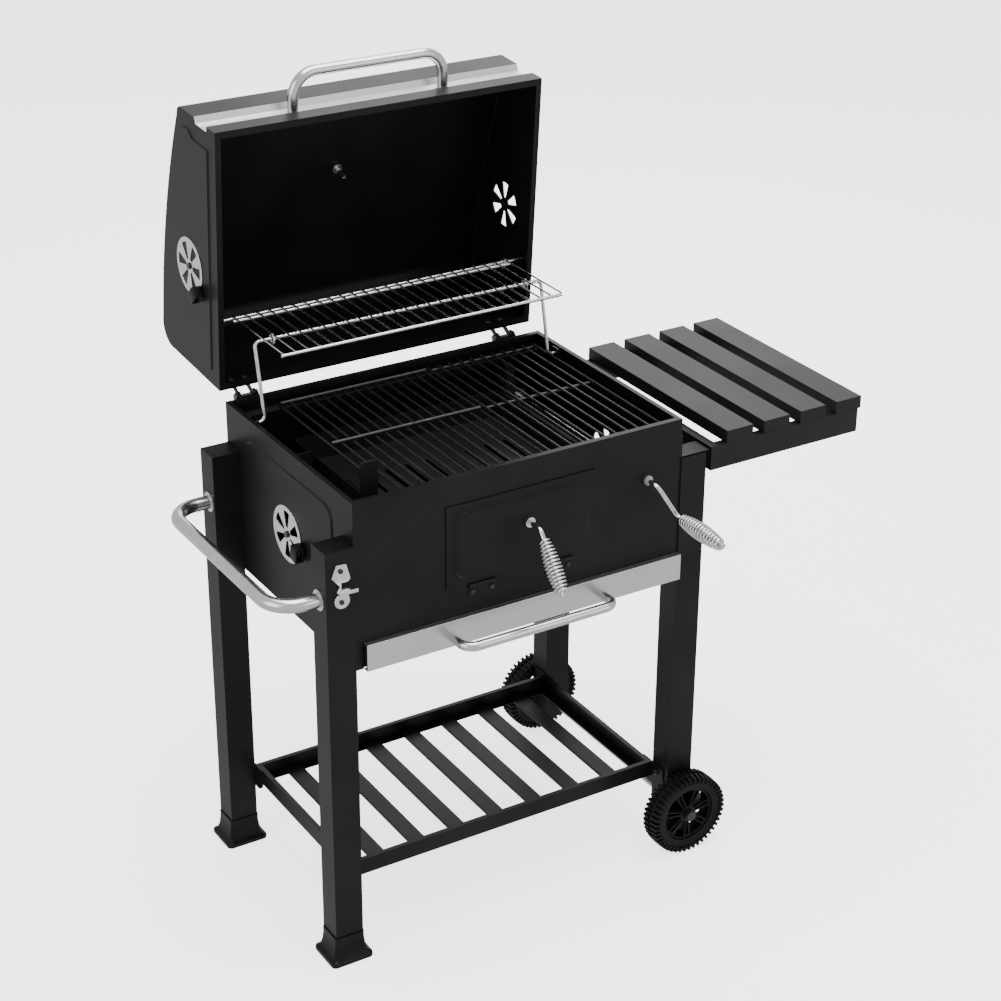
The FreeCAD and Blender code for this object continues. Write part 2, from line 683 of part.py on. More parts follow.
def shelf_slats():
    """Slats of the bottom shelf, resting on the front and back rails' flanges."""
    y0, y1 = shelf_edges()[2:]
    bottom = SHELF_TOP - SHELF_RAIL_HEIGHT + SHEET
    first = BOX_MIDDLE_X - (SHELF_SLATS - 1) * SHELF_SLAT_PITCH / 2 - SHELF_SLAT_WIDTH / 2
    slats = []
    for k in range(SHELF_SLATS):
        slats.append(channel(first + k * SHELF_SLAT_PITCH, SHELF_SLAT_WIDTH, y0 + SHEET,
                             y1 - SHEET, bottom + SHELF_SLAT_DEPTH, SHELF_SLAT_DEPTH))
    return group(slats)


def shelf_brackets():
    """Rounded plates that tie the shelf's corners to the legs' inner faces."""
    low = SHELF_TOP - SHELF_RAIL_HEIGHT - SHELF_BRACKET_DROP
    brackets = []
    for right in (0, 1):
        for back in (0, 1):
            wall = right * BOX_WIDTH
            inward = 1 - 2 * right
            edge = BACK_LEG_FRONT if back else LEG_FRONT_FACE + LEG_Y
            towards = -1 if back else 1
            ys = sorted((edge - towards * 34, edge + towards * SHELF_BRACKET_REACH))
            xs = sorted((wall, wall + inward * SHELF_END_GAP))
            plate = block(*xs, *ys, low, SHELF_TOP)
            rounded = [e for e in plate.Edges if abs(e.CenterOfMass.z - low) < 1e-6
                       and abs(e.Length - SHELF_END_GAP) < 1e-6]
            brackets.append(plate.makeFillet(16.0, rounded))
    return group(brackets)


# Side table -----------------------------------------------------------------------------------

def table_long_rails():
    """Front and back rails of the side table."""
    z0, z1 = TABLE_RAIL_TOP - TABLE_RAIL_HEIGHT, TABLE_RAIL_TOP
    w = TABLE_RAIL_WIDTH
    rails = []
    for y0 in (TABLE_FRONT, TABLE_BACK - w):
        outer = block(TABLE_LEFT, TABLE_RIGHT, y0, y0 + w, z0, z1)
        rails.append(outer.cut(block(TABLE_LEFT - 1, TABLE_RIGHT + 1, y0 + SHEET,
                                     y0 + w - SHEET, z0 + SHEET, z1 - SHEET)))
    return group(rails)


def table_side_rails():
    """Inner and outer rails of the side table, between the long ones."""
    z0, z1 = TABLE_RAIL_TOP - TABLE_RAIL_HEIGHT, TABLE_RAIL_TOP
    w = TABLE_RAIL_WIDTH
    y0, y1 = TABLE_FRONT + w, TABLE_BACK - w
    rails = []
    for x0 in (TABLE_LEFT, TABLE_RIGHT - w):
        outer = block(x0, x0 + w, y0, y1, z0, z1)
        rails.append(outer.cut(block(x0 + SHEET, x0 + w - SHEET, y0 - 1, y1 + 1,
                                     z0 + SHEET, z1 - SHEET)))
    return group(rails)


def table_slats():
    """Slats of the side table with all four edges turned down, on its long rails."""
    slats = []
    for k in range(TABLE_SLATS):
        x0 = TABLE_LEFT + TABLE_FIRST_SLAT + k * TABLE_SLAT_PITCH
        x1, z0 = x0 + TABLE_SLAT_WIDTH, TABLE_TOP - TABLE_SLAT_DEPTH
        slat = block(x0, x1, TABLE_FRONT, TABLE_BACK, z0, TABLE_TOP)
        slats.append(slat.cut(block(x0 + SHEET, x1 - SHEET, TABLE_FRONT + SHEET,
                                    TABLE_BACK - SHEET, z0 - 1, TABLE_TOP - SHEET)))
    return group(slats)


def table_arms():
    """Cranked plates from the firebox's side over the legs' tops to the table."""
    t = TABLE_ARM_THICKNESS
    arms = []
    for y0 in (LEG_FRONT_FACE + 4, LEG_BACK_FACE - 4 - TABLE_ARM_WIDTH):
        y1 = y0 + TABLE_ARM_WIDTH
        over = block(BOX_WIDTH, TABLE_LEFT, y0, y1, LEG_TOP, LEG_TOP + t)
        up = block(BOX_WIDTH, BOX_WIDTH + t, y0, y1, LEG_TOP, LEG_TOP + 40)
        down = block(TABLE_LEFT - t, TABLE_LEFT, y0, y1, LEG_TOP - 28, LEG_TOP)
        arms.append(joined([over, up, down]))
    return group(arms)


# Push handle and bottle opener ------------------------------------------------------------------

def push_handle():
    """Bent tube between the left legs, with a round flange at each end."""
    x0 = -LEG_X
    ys = (LEG_FRONT_FACE + LEG_Y / 2 - PUSH_INSET + 5, LEG_BACK_FACE - LEG_Y / 2 - PUSH_INSET + 1)
    xo = x0 - PUSH_REACH
    z = PUSH_HEIGHT
    tube = bent_bar([(x0, ys[0], z), (xo, ys[0], z), (xo, ys[1], z), (x0, ys[1], z)],
                    PUSH_BEND, PUSH_RADIUS, PUSH_BORE)
    flanges = []
    for y in ys:
        disc = rod((x0 - PUSH_FLANGE, y, z), (x0, y, z), PUSH_FLANGE_RADIUS)
        flanges.append(disc.cut(rod((x0 - PUSH_FLANGE - 1, y, z), (x0 + 1, y, z), PUSH_BORE)))
    return joined([tube] + flanges)


def opener_spot(along, up, out=0.0):
    """Point on the front left leg, from the bottle opener's upper screw."""
    return V(-LEG_X / 2 + along, LEG_FRONT_FACE - out, OPENER_SCREW_HEIGHT + up)


def bottle_opener():
    """Waisted plate on the front left leg with a tongue turned out of its middle."""
    t = OPENER_SHEET
    plate = polygon_face([opener_spot(x, up) for x, up in OPENER_OUTLINE])
    plate = plate.extrude(-Y_AXIS * t)
    along, up, radius = OPENER_EAR
    ear = Part.makeCylinder(radius, t, opener_spot(along, up), -Y_AXIS)
    x0, x1, low, high = OPENER_WINDOW
    a, b = opener_spot(x0, low, t + 1), opener_spot(x1 + 10, high, -1)
    window = block(a.x, b.x, a.y, b.y, a.z, b.z)
    plan = [opener_spot(x, -OPENER_TONGUE_DROP, out) for x, out in OPENER_TONGUE]
    tongue = polygon_face(plan).extrude(Z_AXIS * t)
    far = max(out for _, out in OPENER_TONGUE)
    tip_ends = [x for x, out in OPENER_TONGUE if out == far]
    a = opener_spot(min(tip_ends), -OPENER_TONGUE_DROP - OPENER_TIP, far)
    b = opener_spot(max(tip_ends), -OPENER_TONGUE_DROP + t, far - t)
    tip = block(a.x, b.x, a.y, b.y, a.z, b.z)
    return joined([plate, ear, tongue, tip]).cut(window).removeSplitter()


# Lid, built closed --------------------------------------------------------------------------------

def lid_top_arc(x):
    """Arc over the closed lid's top, from the back to the front corner, in the YZ plane at x."""
    points = (LID_BACK_TOP, LID_CROWN, (LID_DEPTH - LID_CORNER, LID_FRONT_TOP))
    return Part.Arc(*(V(x, LID_BACK - from_back, LID_BOTTOM + above)
                      for from_back, above in points)).toShape()


def lid_outline(x):
    """Side profile of the closed lid as a closed wire in the YZ plane at x."""
    def at(from_back, above):
        return V(x, LID_BACK - from_back, LID_BOTTOM + above)

    def line(a, b):
        return Part.LineSegment(a, b).toShape()

    def arc(a, b, c):
        return Part.Arc(a, b, c).toShape()

    depth = LID_DEPTH
    corner = LID_CORNER
    back_knee = at(8.0, LID_BACK_TOP[1] - 12.0)
    back_top = at(*LID_BACK_TOP)
    front_top = at(depth - corner, LID_FRONT_TOP)
    nose = at(depth - 3.0, LID_FRONT_TOP - 5.0)
    shoulder = at(depth, LID_FRONT_SHOULDER)
    recess_high = at(depth, RECESS_TOP + RECESS_CURVE)
    recess_mid = at(depth - RECESS_DEPTH * 0.7, RECESS_TOP + RECESS_CURVE * 0.45)
    floor_high = at(depth - RECESS_DEPTH, RECESS_TOP)
    floor_low = at(depth - RECESS_DEPTH, RECESS_BOTTOM + 1.0)
    lip_high = at(depth, RECESS_BOTTOM)
    edges = [line(at(0, 0), at(0, LID_BACK_WALL)),
             arc(at(0, LID_BACK_WALL), back_knee, back_top),
             lid_top_arc(x),
             arc(front_top, nose, shoulder),
             line(shoulder, recess_high),
             arc(recess_high, recess_mid, floor_high),
             line(floor_high, floor_low),
             line(floor_low, lip_high),
             line(lip_high, at(depth, 0)),
             line(at(depth, 0), at(0, 0))]
    return Part.Wire(edges)


def lid_shell():
    """Back, top and front of the lid in one folded sheet, with rim flanges."""
    x0, x1 = LID_LEFT + SHEET, LID_RIGHT - SHEET
    outer = Part.Face(lid_outline(x0)).extrude(V(x1 - x0, 0, 0))
    inner_face = Part.Face(lid_outline(x0 - 1)).makeOffset2D(-SHEET)
    inner = inner_face.extrude(V(x1 - x0 + 2, 0, 0))
    mouth = block(x0 - 1, x1 + 1, LID_FRONT + SHEET + LID_FLANGE,
                  LID_BACK - SHEET - LID_FLANGE, LID_BOTTOM - 1, LID_BOTTOM + SHEET + 1)
    gauge = rod(gauge_point(-30), gauge_point(30), GAUGE_STEM_RADIUS)
    return outer.cut([inner, mouth, gauge])


def gauge_direction():
    """Unit normal of the lid's top where the thermometer stands."""
    top = lid_top_arc(GAUGE_X).Curve
    away = LID_BACK - GAUGE_FROM_BACK - top.Center.y
    return V(0, away, math.sqrt(top.Radius ** 2 - away ** 2)).normalize()


def gauge_point(out):
    """Point on the thermometer's axis, out from the lid's outer surface."""
    top = lid_top_arc(GAUGE_X).Curve
    p = top.Center + gauge_direction() * (top.Radius + out)
    return (p.x, p.y, p.z)


def lid_side(right):
    """Side of the lid with its raised field, rim flange, vent slots and rack eye."""
    outside = LID_RIGHT if right else LID_LEFT
    inward = -1 if right else 1
    x0 = min(outside, outside + inward * SHEET)
    plate = Part.Face(lid_outline(x0)).extrude(V(SHEET, 0, 0))
    flange = block(*sorted((outside + inward * SHEET, outside + inward * LID_FLANGE)),
                   LID_FRONT + SHEET + LID_FLANGE, LID_BACK - SHEET - LID_FLANGE,
                   LID_BOTTOM, LID_BOTTOM + SHEET)
    margin = LID_EMBOSS_MARGIN

    def pad(x):
        low = Part.Face(lid_outline(x)).makeOffset2D(-margin).OuterWire
        high = Part.Face(lid_outline(x)).makeOffset2D(-margin - SIDE_EMBOSS).OuterWire
        high.translate(V(-inward * SIDE_EMBOSS, 0, 0))
        return Part.makeLoft([low, high], True, True)

    raised = pad(outside)
    hollow = pad(outside + inward * SHEET)
    centre = lid_vent_centre()
    slots = wedge_slots(centre, *sorted((outside - 5, outside + 5)), VENT_SLOT_INNER,
                        VENT_SLOT_OUTER, VENT_SLOTS, VENT_SLOT_ANGLE, LID_VENT_PANEL_SLOT)
    rivet = rod((outside - 6, *centre), (outside + 6, *centre), VENT_RIVET_RADIUS)
    panel = plate.fuse([flange, raised]).removeSplitter()
    panel = panel.cut([hollow, rivet] + slots)
    lug = eye_lug(outside, inward, closed_place(RACK_REAR), 1)
    return panel.fuse(lug).removeSplitter()


def lid_vent_centre():
    """Centre of a lid vent in the YZ plane, lid closed."""
    return (LID_BACK - LID_VENT_FROM_BACK, LID_BOTTOM + LID_VENT_ABOVE_RIM)


def closed_place(point):
    """Where a (Y, Z) point of the open lid is when the lid is closed."""
    a = math.radians(LID_OPEN_ANGLE)
    y, z = point[0] - PIVOT_Y, point[1] - PIVOT_Z
    return (PIVOT_Y + y * math.cos(a) - z * math.sin(a),
            PIVOT_Z + y * math.sin(a) + z * math.cos(a))


def strip_face():
    """Y of the trim strip's outer face, lid closed."""
    return LID_FRONT + RECESS_DEPTH - STRIP_THICKNESS


def lid_strip():
    """Stainless trim strip in the lid's recess, turned out along the recess's slope."""
    floor_y, face_y = LID_FRONT + RECESS_DEPTH, strip_face()
    z0, bend_z = LID_BOTTOM + RECESS_BOTTOM + 1, LID_BOTTOM + RECESS_TOP
    slope = V(0, -RECESS_DEPTH, RECESS_CURVE).normalize()
    inward = V(0, -slope.z, slope.y) * STRIP_THICKNESS
    bend = V(LID_LEFT + 1, floor_y, bend_z)
    edge = bend + slope * (math.hypot(RECESS_DEPTH, RECESS_CURVE) - STRIP_EDGE_GAP)
    inner_bend = bend + inward + slope * ((bend.y + inward.y - face_y) / -slope.y)
    outline = [V(bend.x, floor_y, z0), bend, edge, edge + inward, inner_bend,
               V(bend.x, face_y, z0)]
    return polygon_face(outline).extrude(V(LID_RIGHT - LID_LEFT - 2, 0, 0))


def lid_handle():
    """Bent bar that stands on the trim strip."""
    z = LID_BOTTOM + RECESS_BOTTOM + 1 + STRIP_HEIGHT / 2
    xs = (BOX_MIDDLE_X - LID_HANDLE_SPAN / 2, BOX_MIDDLE_X + LID_HANDLE_SPAN / 2)
    y0 = strip_face()
    y1 = y0 - LID_HANDLE_REACH
    bar = bent_bar([(xs[0], y0, z), (xs[0], y1, z), (xs[1], y1, z), (xs[1], y0, z)],
                   LID_HANDLE_BEND, LID_HANDLE_RADIUS)
    feet = [rod((x, y0 - 2, z), (x, y0, z), LID_HANDLE_RADIUS + 3) for x in xs]
    return joined([bar] + feet)


def thermometer():
    """Round case outside the lid with its stem through the lid."""
    case = Part.makeCylinder(GAUGE_RADIUS, GAUGE_DEPTH, V(*gauge_point(0.6)),
                             gauge_direction())
    dish = Part.makeCylinder(GAUGE_RADIUS - 3, 4, V(*gauge_point(GAUGE_DEPTH - 2)),
                             gauge_direction())
    stem = Part.makeCylinder(GAUGE_STEM_RADIUS, GAUGE_STEM_LENGTH + 1,
                             V(*gauge_point(-GAUGE_STEM_LENGTH)), gauge_direction())
    nut = Part.makeCylinder(GAUGE_NUT_RADIUS, GAUGE_NUT_LENGTH,
                            V(*gauge_point(-GAUGE_NUT_LENGTH - SHEET - 0.6)),
                            gauge_direction())
    return joined([case.cut(dish), stem, nut])


def ear(x0, thickness, pivot, base_y, base_z0, base_z1, radius):
    """Hinge ear: a round end about the pivot that runs out to a straight base edge."""
    y, z = pivot
    disc = rod((x0, y, z), (x0 + thickness, y, z), radius)
    web = polygon_face([(x0, y, z + radius), (x0, y, z - radius), (x0, base_y, base_z0),
                        (x0, base_y, base_z1)]).extrude(V(thickness, 0, 0))
    hole = rod((x0 - 1, y, z), (x0 + thickness + 1, y, z), HINGE_PIN_RADIUS + RUNNING_FIT)
    return joined([disc, web]).cut(hole)


def lid_hinge_arms():
    """Hinge halves on the lid's back wall, between the firebox brackets' ears."""
    arms = []
    y0 = LID_BACK
    z0, z1 = LID_BOTTOM + 6, LID_BOTTOM + 6 + HINGE_PLATE_HEIGHT
    half = HINGE_EAR_SPAN / 2 - HINGE_EAR - CLEARANCE
    for x in HINGE_POSITIONS:
        plate = block(x - HINGE_WIDTH / 2, x + HINGE_WIDTH / 2, y0, y0 + HINGE_PLATE, z0, z1)
        ears = [ear(x0, HINGE_EAR, (PIVOT_Y, PIVOT_Z), y0 + HINGE_PLATE, z0, z1 - 8,
                    HINGE_EAR_RADIUS) for x0 in (x - half, x + half - HINGE_EAR)]
        arms.append(joined([plate] + ears))
    return group(arms)


def lid_hinge_brackets():
    """Hinge halves on the firebox's back panel."""
    brackets = []
    y0 = BOX_DEPTH
    z1 = RIM_HEIGHT - 2
    z0 = z1 - HINGE_PLATE_HEIGHT
    half = HINGE_EAR_SPAN / 2
    for x in HINGE_POSITIONS:
        plate = block(x - HINGE_WIDTH / 2, x + HINGE_WIDTH / 2, y0, y0 + HINGE_PLATE, z0, z1)
        ears = [ear(x0, HINGE_EAR, (PIVOT_Y, PIVOT_Z), y0 + HINGE_PLATE, z0 + 3, z1,
                    HINGE_EAR_RADIUS) for x0 in (x - half, x + half - HINGE_EAR)]
        brackets.append(joined([plate] + ears))
    return group(brackets)


def lid_hinge_pins():
    """Headed pins through the lid hinges' ears."""
    pins = []
    half = HINGE_EAR_SPAN / 2
    for x in HINGE_POSITIONS:
        shank = rod((x - half, PIVOT_Y, PIVOT_Z), (x + half, PIVOT_Y, PIVOT_Z),
                    HINGE_PIN_RADIUS)
        heads = [rod((x0, PIVOT_Y, PIVOT_Z), (x0 + 4, PIVOT_Y, PIVOT_Z), 6.5)
                 for x0 in (x - half - 4, x + half)]
        pins.append(joined([shank] + heads))
    return group(pins)


# Vents ---------------------------------------------------------------------------------------------

def vent_damper(surface, outward, centre, knob_angle):
    """Turning disc with wedge slots and a plastic knob; outward is +1 or -1 along X."""
    base = surface + outward * VENT_STANDOFF
    x0, x1 = sorted((base, base + outward * VENT_THICKNESS))
    disc = rod((x0, *centre), (x1, *centre), VENT_RADIUS)
    hole = rod((x0 - 1, *centre), (x1 + 1, *centre), VENT_RIVET_RADIUS + RUNNING_FIT)
    slots = wedge_slots(centre, x0 - 1, x1 + 1, VENT_SLOT_INNER, VENT_SLOT_OUTER,
                        VENT_SLOTS, VENT_SLOT_ANGLE, knob_angle + VENT_SLOT_FROM_KNOB)
    disc = disc.cut([hole] + slots)
    along, across, out = VENT_KNOB
    face = base + outward * VENT_THICKNESS
    kx0, kx1 = sorted((face, face + outward * out))
    y, z = centre
    knob = block(kx0, kx1, y + VENT_KNOB_RADIUS - across / 2, y + VENT_KNOB_RADIUS + across / 2,
                 z - along / 2, z + along / 2)
    knob = knob.cut(block(kx0 + 4, kx1 - 4, y, y + VENT_RADIUS + across, z - along / 2 + 5,
                          z + along / 2 - 5))
    knob.rotate(V(0, y, z), X_AXIS, knob_angle)
    return group([disc, knob])


def vent_rivet(surface, outward, centre):
    """Rivet that a damper turns on."""
    inner = surface - outward * (SHEET + 1.5)
    face = surface + outward * (2 * VENT_STANDOFF + VENT_THICKNESS)
    shank = rod((inner, *centre), (face, *centre), VENT_RIVET_RADIUS)
    head = rod((face, *centre), (face + outward * 2.5, *centre), VENT_RIVET_HEAD)
    return joined([shank, head])


# Warming rack ----------------------------------------------------------------------------------------

def warming_rack():
    """Wire rack: rear bar held in the lid's eyes, front bar, wires and two hanging rings."""
    y, z = RACK_REAR
    left, right = RACK_REAR_INSET, BOX_WIDTH - RACK_REAR_INSET
    eye_end = LID_LEFT + SHEET + 2.0
    ends = (eye_end, BOX_WIDTH - eye_end)
    rear = rod((ends[0], y, z), (ends[1], y, z), RACK_BAR_RADIUS)
    second = rod((left + 10, y - RACK_SECOND_BAR, z), (right - 10, y - RACK_SECOND_BAR, z),
                 RACK_BAR_RADIUS)
    front_y = y - RACK_DEPTH
    front = rod((RACK_INSET, front_y, z), (BOX_WIDTH - RACK_INSET, front_y, z),
                RACK_BAR_RADIUS)
    wire_z = z + RACK_BAR_RADIUS + RACK_WIRE_RADIUS - 0.5
    first = RACK_INSET + RACK_WIRE_RADIUS
    pitch = (BOX_WIDTH - 2 * first) / (RACK_WIRES - 1)
    wires = [rod((first + k * pitch, front_y - 1, wire_z), (first + k * pitch, y + 1, wire_z),
                 RACK_WIRE_RADIUS) for k in range(RACK_WIRES)]
    rings = []
    cy, cz = RACK_CROSSBAR
    for k in (1, RACK_WIRES - 2):
        ring = Part.makeTorus(RACK_RING_RADIUS, RACK_RING_WIRE, V(first + k * pitch, cy, cz),
                              X_AXIS)
        rings.append(ring)
    return joined([rear, second, front] + wires + rings)


def rack_leg_frame():
    """Upright wire frame: crossbar through the rack's rings, feet in the firebox's eyes."""
    x0, x1 = LEG_FRAME_INSET, BOX_WIDTH - LEG_FRAME_INSET
    ends = (SHEET + 2.0, BOX_WIDTH - SHEET - 2.0)
    foot_place, bar_place = RACK_FOOT, RACK_CROSSBAR
    points = [(ends[0], *foot_place), (x0, *foot_place), (x0, *bar_place),
              (x1, *bar_place), (x1, *foot_place), (ends[1], *foot_place)]
    return bent_bar(points, LEG_FRAME_BEND, RACK_BAR_RADIUS)


# Cooking grates ----------------------------------------------------------------------------------------

def cooking_grate(x0, x1, flipped):
    """Wires laid across three bars, which are under them, or over them if flipped."""
    rise = GRATE_WIRE_RADIUS + GRATE_BAR_RADIUS
    bar_z = GRATE_LEVEL + (rise if flipped else -rise)
    level = GRATE_LEVEL
    r = GRATE_WIRE_RADIUS
    if flipped:
        drop = 2 * GRATE_BAR_RADIUS
        level -= drop
        bar_z -= drop
    count = int((x1 - x0 - 2 * r) / GRATE_PITCH) + 1
    pitch = (x1 - x0 - 2 * r) / (count - 1)
    wires = [rod((x0 + r + k * pitch, GRATE_FRONT, level),
                 (x0 + r + k * pitch, GRATE_BACK, level), r) for k in range(count)]
    bars = [rod((x0 + r, y, bar_z), (x1 - r, y, bar_z), GRATE_BAR_RADIUS)
            for y in (GRATE_FRONT + GRATE_BAR_RADIUS, (GRATE_FRONT + GRATE_BACK) / 2 + 20,
                      GRATE_BACK - GRATE_BAR_RADIUS)]
    if flipped:
        wires[0] = rod((x0 + r, GRATE_NOTCH, level), (x0 + r, GRATE_BACK, level), r)
    return group(wires + bars)


# Charcoal pan, lift and crank ----------------------------------------------------------------------------

def charcoal_pan():
    """Open tray with air slots in its floor."""
    x0, x1, y0, y1 = PAN_LEFT, PAN_RIGHT, PAN_FRONT, PAN_BACK
    tray = block(x0, x1, y0, y1, PAN_BOTTOM, PAN_BOTTOM + PAN_DEPTH)
    tray = tray.cut(block(x0 + SHEET, x1 - SHEET, y0 + SHEET, y1 - SHEET,
                          PAN_BOTTOM + SHEET, PAN_BOTTOM + PAN_DEPTH + 1))
    margin = 45.0
    pitch = (x1 - x0 - 2 * margin) / (PAN_SLOTS - 1)
    bars = (y0 + LIFT_BAR_INSET, y1 - LIFT_BAR_INSET)
    slots = []
    for k in range(PAN_SLOTS):
        x = x0 + margin + k * pitch
        slots.append(block(x - PAN_SLOT_WIDTH / 2, x + PAN_SLOT_WIDTH / 2,
                           bars[0] + LIFT_BAR_WIDTH, bars[1] - LIFT_BAR_WIDTH,
                           PAN_BOTTOM - 1, PAN_BOTTOM + SHEET + 1))
    return tray.cut(slots)


def lift_bar_places():
    """Y of the middles of the lift frame's two cross bars."""
    return (PAN_FRONT + LIFT_BAR_INSET, PAN_BACK - LIFT_BAR_INSET)


def gear_places():
    """Y where each pinion and its toothed rack start."""
    return (GEAR_INSET, BOX_DEPTH - GEAR_INSET - GEAR_WIDTH)


def toothed_rack(y):
    """Upright rack whose teeth face the crank's shaft."""
    pitch = math.pi * GEAR_MODULE
    half = pitch / 4 - GEAR_BACKLASH / 2
    slope = math.tan(math.radians(PRESSURE_ANGLE))
    root = GEAR_MODULE + GEAR_TIP_GAP
    points = [(PAN_RIGHT + 5, RACK_LOW)]
    teeth = range(math.ceil((RACK_LOW - CRANK_Z) / pitch + 0.5),
                  math.floor((RACK_HIGH - CRANK_Z) / pitch - 0.5) + 1)
    points.append((RACK_PITCH_X - root, RACK_LOW))
    for k in teeth:
        z = CRANK_Z + k * pitch
        points += [(RACK_PITCH_X - root, z - half - root * slope),
                   (RACK_PITCH_X + RACK_TOOTH_TIP, z - half + RACK_TOOTH_TIP * slope),
                   (RACK_PITCH_X + RACK_TOOTH_TIP, z + half - RACK_TOOTH_TIP * slope),
                   (RACK_PITCH_X - root, z + half + root * slope)]
    points += [(RACK_PITCH_X - root, RACK_HIGH), (PAN_RIGHT + 5, RACK_HIGH)]
    face = polygon_face([(px, y, pz) for px, pz in points])
    return face.extrude(V(0, GEAR_WIDTH, 0))


def lift_frame():
    """Cross bars under the pan, with guide tongues on the left and racks on the right."""
    z0, z1 = PAN_BOTTOM - LIFT_BAR, PAN_BOTTOM
    end = PAN_RIGHT + 5
    pieces = []
    for y in lift_bar_places():
        pieces.append(block(PAN_LEFT - 10, end, y - LIFT_BAR_WIDTH / 2, y + LIFT_BAR_WIDTH / 2,
                            z0, z1))
        pieces.append(block(SHEET + 3, PAN_LEFT - 6, y - TONGUE / 2, y + TONGUE / 2, z0,
                            z1 + 60))
    y = lift_bar_places()[0]
    tab = block(PAN_LEFT - 6 - LIFT_TAB_WIDTH, PAN_LEFT - 6, y - TONGUE / 2, y + TONGUE / 2,
                z0, LIFT_TAB_TOP)
    corners = [e for e in tab.Edges if abs(e.Length - TONGUE) < 1e-6
               and e.CenterOfMass.z > LIFT_TAB_TOP - 1]
    pieces.append(tab.makeFillet(5.0, corners))
    pieces.append(block(PAN_RIGHT + 2, end, GEAR_INSET, BOX_DEPTH - GEAR_INSET, z0,
                        PAN_BOTTOM + PAN_DEPTH))
    for y in gear_places():
        pieces.append(toothed_rack(y))
    return joined(pieces)


def pan_guides():
    """Upright channels on the left side panel that the lift frame's tongues slide in."""
    guides = []
    gap = TONGUE / 2 + CLEARANCE
    for y in lift_bar_places():
        outer = block(SHEET, SHEET + GUIDE_DEPTH, y - GUIDE_WIDTH / 2, y + GUIDE_WIDTH / 2,
                      GUIDE_LOW, GUIDE_HIGH)
        slot = block(2 * SHEET - 0.5, SHEET + GUIDE_DEPTH + 1, y - gap, y + gap,
                     GUIDE_LOW - 1, GUIDE_HIGH + 1)
        guides.append(outer.cut(slot))
    return group(guides)


def involute_tooth_side(base, radii, half_angle):
    """Angles from a tooth's middle at each radius of an involute flank."""
    def spread(r):
        return math.tan(math.acos(min(1.0, base / r))) - math.acos(min(1.0, base / r))
    return [half_angle + spread(PITCH_RADIUS) - spread(r) for r in radii]


def pinion(y):
    """Small spur gear on the crank's shaft, with a gap between teeth facing the rack."""
    base = PITCH_RADIUS * math.cos(math.radians(PRESSURE_ANGLE))
    root = PITCH_RADIUS - RACK_TOOTH_TIP - GEAR_TIP_GAP
    tip = PITCH_RADIUS + GEAR_MODULE
    radii = [base + (tip - base) * k / 5 for k in range(6)]
    thickness = math.pi * GEAR_MODULE / 2 - GEAR_BACKLASH / 2
    angles = involute_tooth_side(base, radii, thickness / 2 / PITCH_RADIUS)
    points = []
    for k in range(PINION_TEETH):
        middle = math.pi + (k + 0.5) * 2 * math.pi / PINION_TEETH
        flank = [(root, angles[0])] + list(zip(radii, angles))
        for r, a in flank:
            points.append((r, middle - a))
        for r, a in reversed(flank):
            points.append((r, middle + a))
    face = polygon_face([(CRANK_X + r * math.cos(a), y, CRANK_Z + r * math.sin(a))
                         for r, a in points])
    gear = face.extrude(V(0, GEAR_WIDTH, 0))
    return gear.cut(rod((CRANK_X, y - 1, CRANK_Z), (CRANK_X, y + GEAR_WIDTH + 1, CRANK_Z),
                        CRANK_RADIUS))


def crank_pinions():
    """Both pinions."""
    return group([pinion(y) for y in gear_places()])


def crank_rod():
    """Shaft through the firebox, bent outside the front into an arm and a grip pin."""
    y_back = BOX_DEPTH - SHEET - CLEARANCE
    points = [(CRANK_X, y_back, CRANK_Z), (CRANK_X, -CRANK_REACH, CRANK_Z),
              (CRANK_GRIP_X, -CRANK_REACH, CRANK_GRIP_Z),
              (CRANK_GRIP_X, -CRANK_REACH - CRANK_BEND - CRANK_GRIP_LENGTH - 4, CRANK_GRIP_Z)]
    return bent_bar(points, CRANK_BEND, CRANK_RADIUS)


def crank_grip():
    """Grip on the crank's pin."""
    y0 = -CRANK_REACH - CRANK_BEND - 2
    return barrel((CRANK_GRIP_X, y0, CRANK_GRIP_Z),
                  (CRANK_GRIP_X, y0 - CRANK_GRIP_LENGTH, CRANK_GRIP_Z),
                  GRIP_END_RADIUS, GRIP_MIDDLE_RADIUS, CRANK_RADIUS)


def crank_bushings():
    """Flanged bush in the front panel and a block bush on the back panel."""
    bore = CRANK_RADIUS + RUNNING_FIT
    y1 = SHEET + 4
    sleeve = rod((CRANK_X, 0, CRANK_Z), (CRANK_X, y1, CRANK_Z), CRANK_RADIUS + 2)
    nut = rod((CRANK_X, -CRANK_NUT_LENGTH, CRANK_Z), (CRANK_X, 0, CRANK_Z), CRANK_NUT_RADIUS)
    inner = rod((CRANK_X, SHEET, CRANK_Z), (CRANK_X, y1, CRANK_Z), CRANK_NUT_RADIUS)
    front = joined([sleeve, nut, inner])
    y2 = BOX_DEPTH - SHEET
    back = block(CRANK_X - 12, CRANK_X + 12, y2 - 14, y2, CRANK_Z - 12, CRANK_Z + 12)
    bores = rod((CRANK_X, -20, CRANK_Z), (CRANK_X, y2 - CLEARANCE / 2, CRANK_Z), bore)
    return group([front.cut(bores), back.cut(bores)])


# Fuel door ---------------------------------------------------------------------------------------------------

def door_hinge_middles():
    """X of the middle of each door hinge."""
    return (DOOR_LEFT + DOOR_HINGE_OFFSET + DOOR_HINGE_WIDTH / 2,
            DOOR_RIGHT - DOOR_HINGE_OFFSET - DOOR_HINGE_WIDTH / 2)


def door_face():
    """Y of the closed door's outer face, beside its raised field."""
    return -CLEARANCE - SHEET


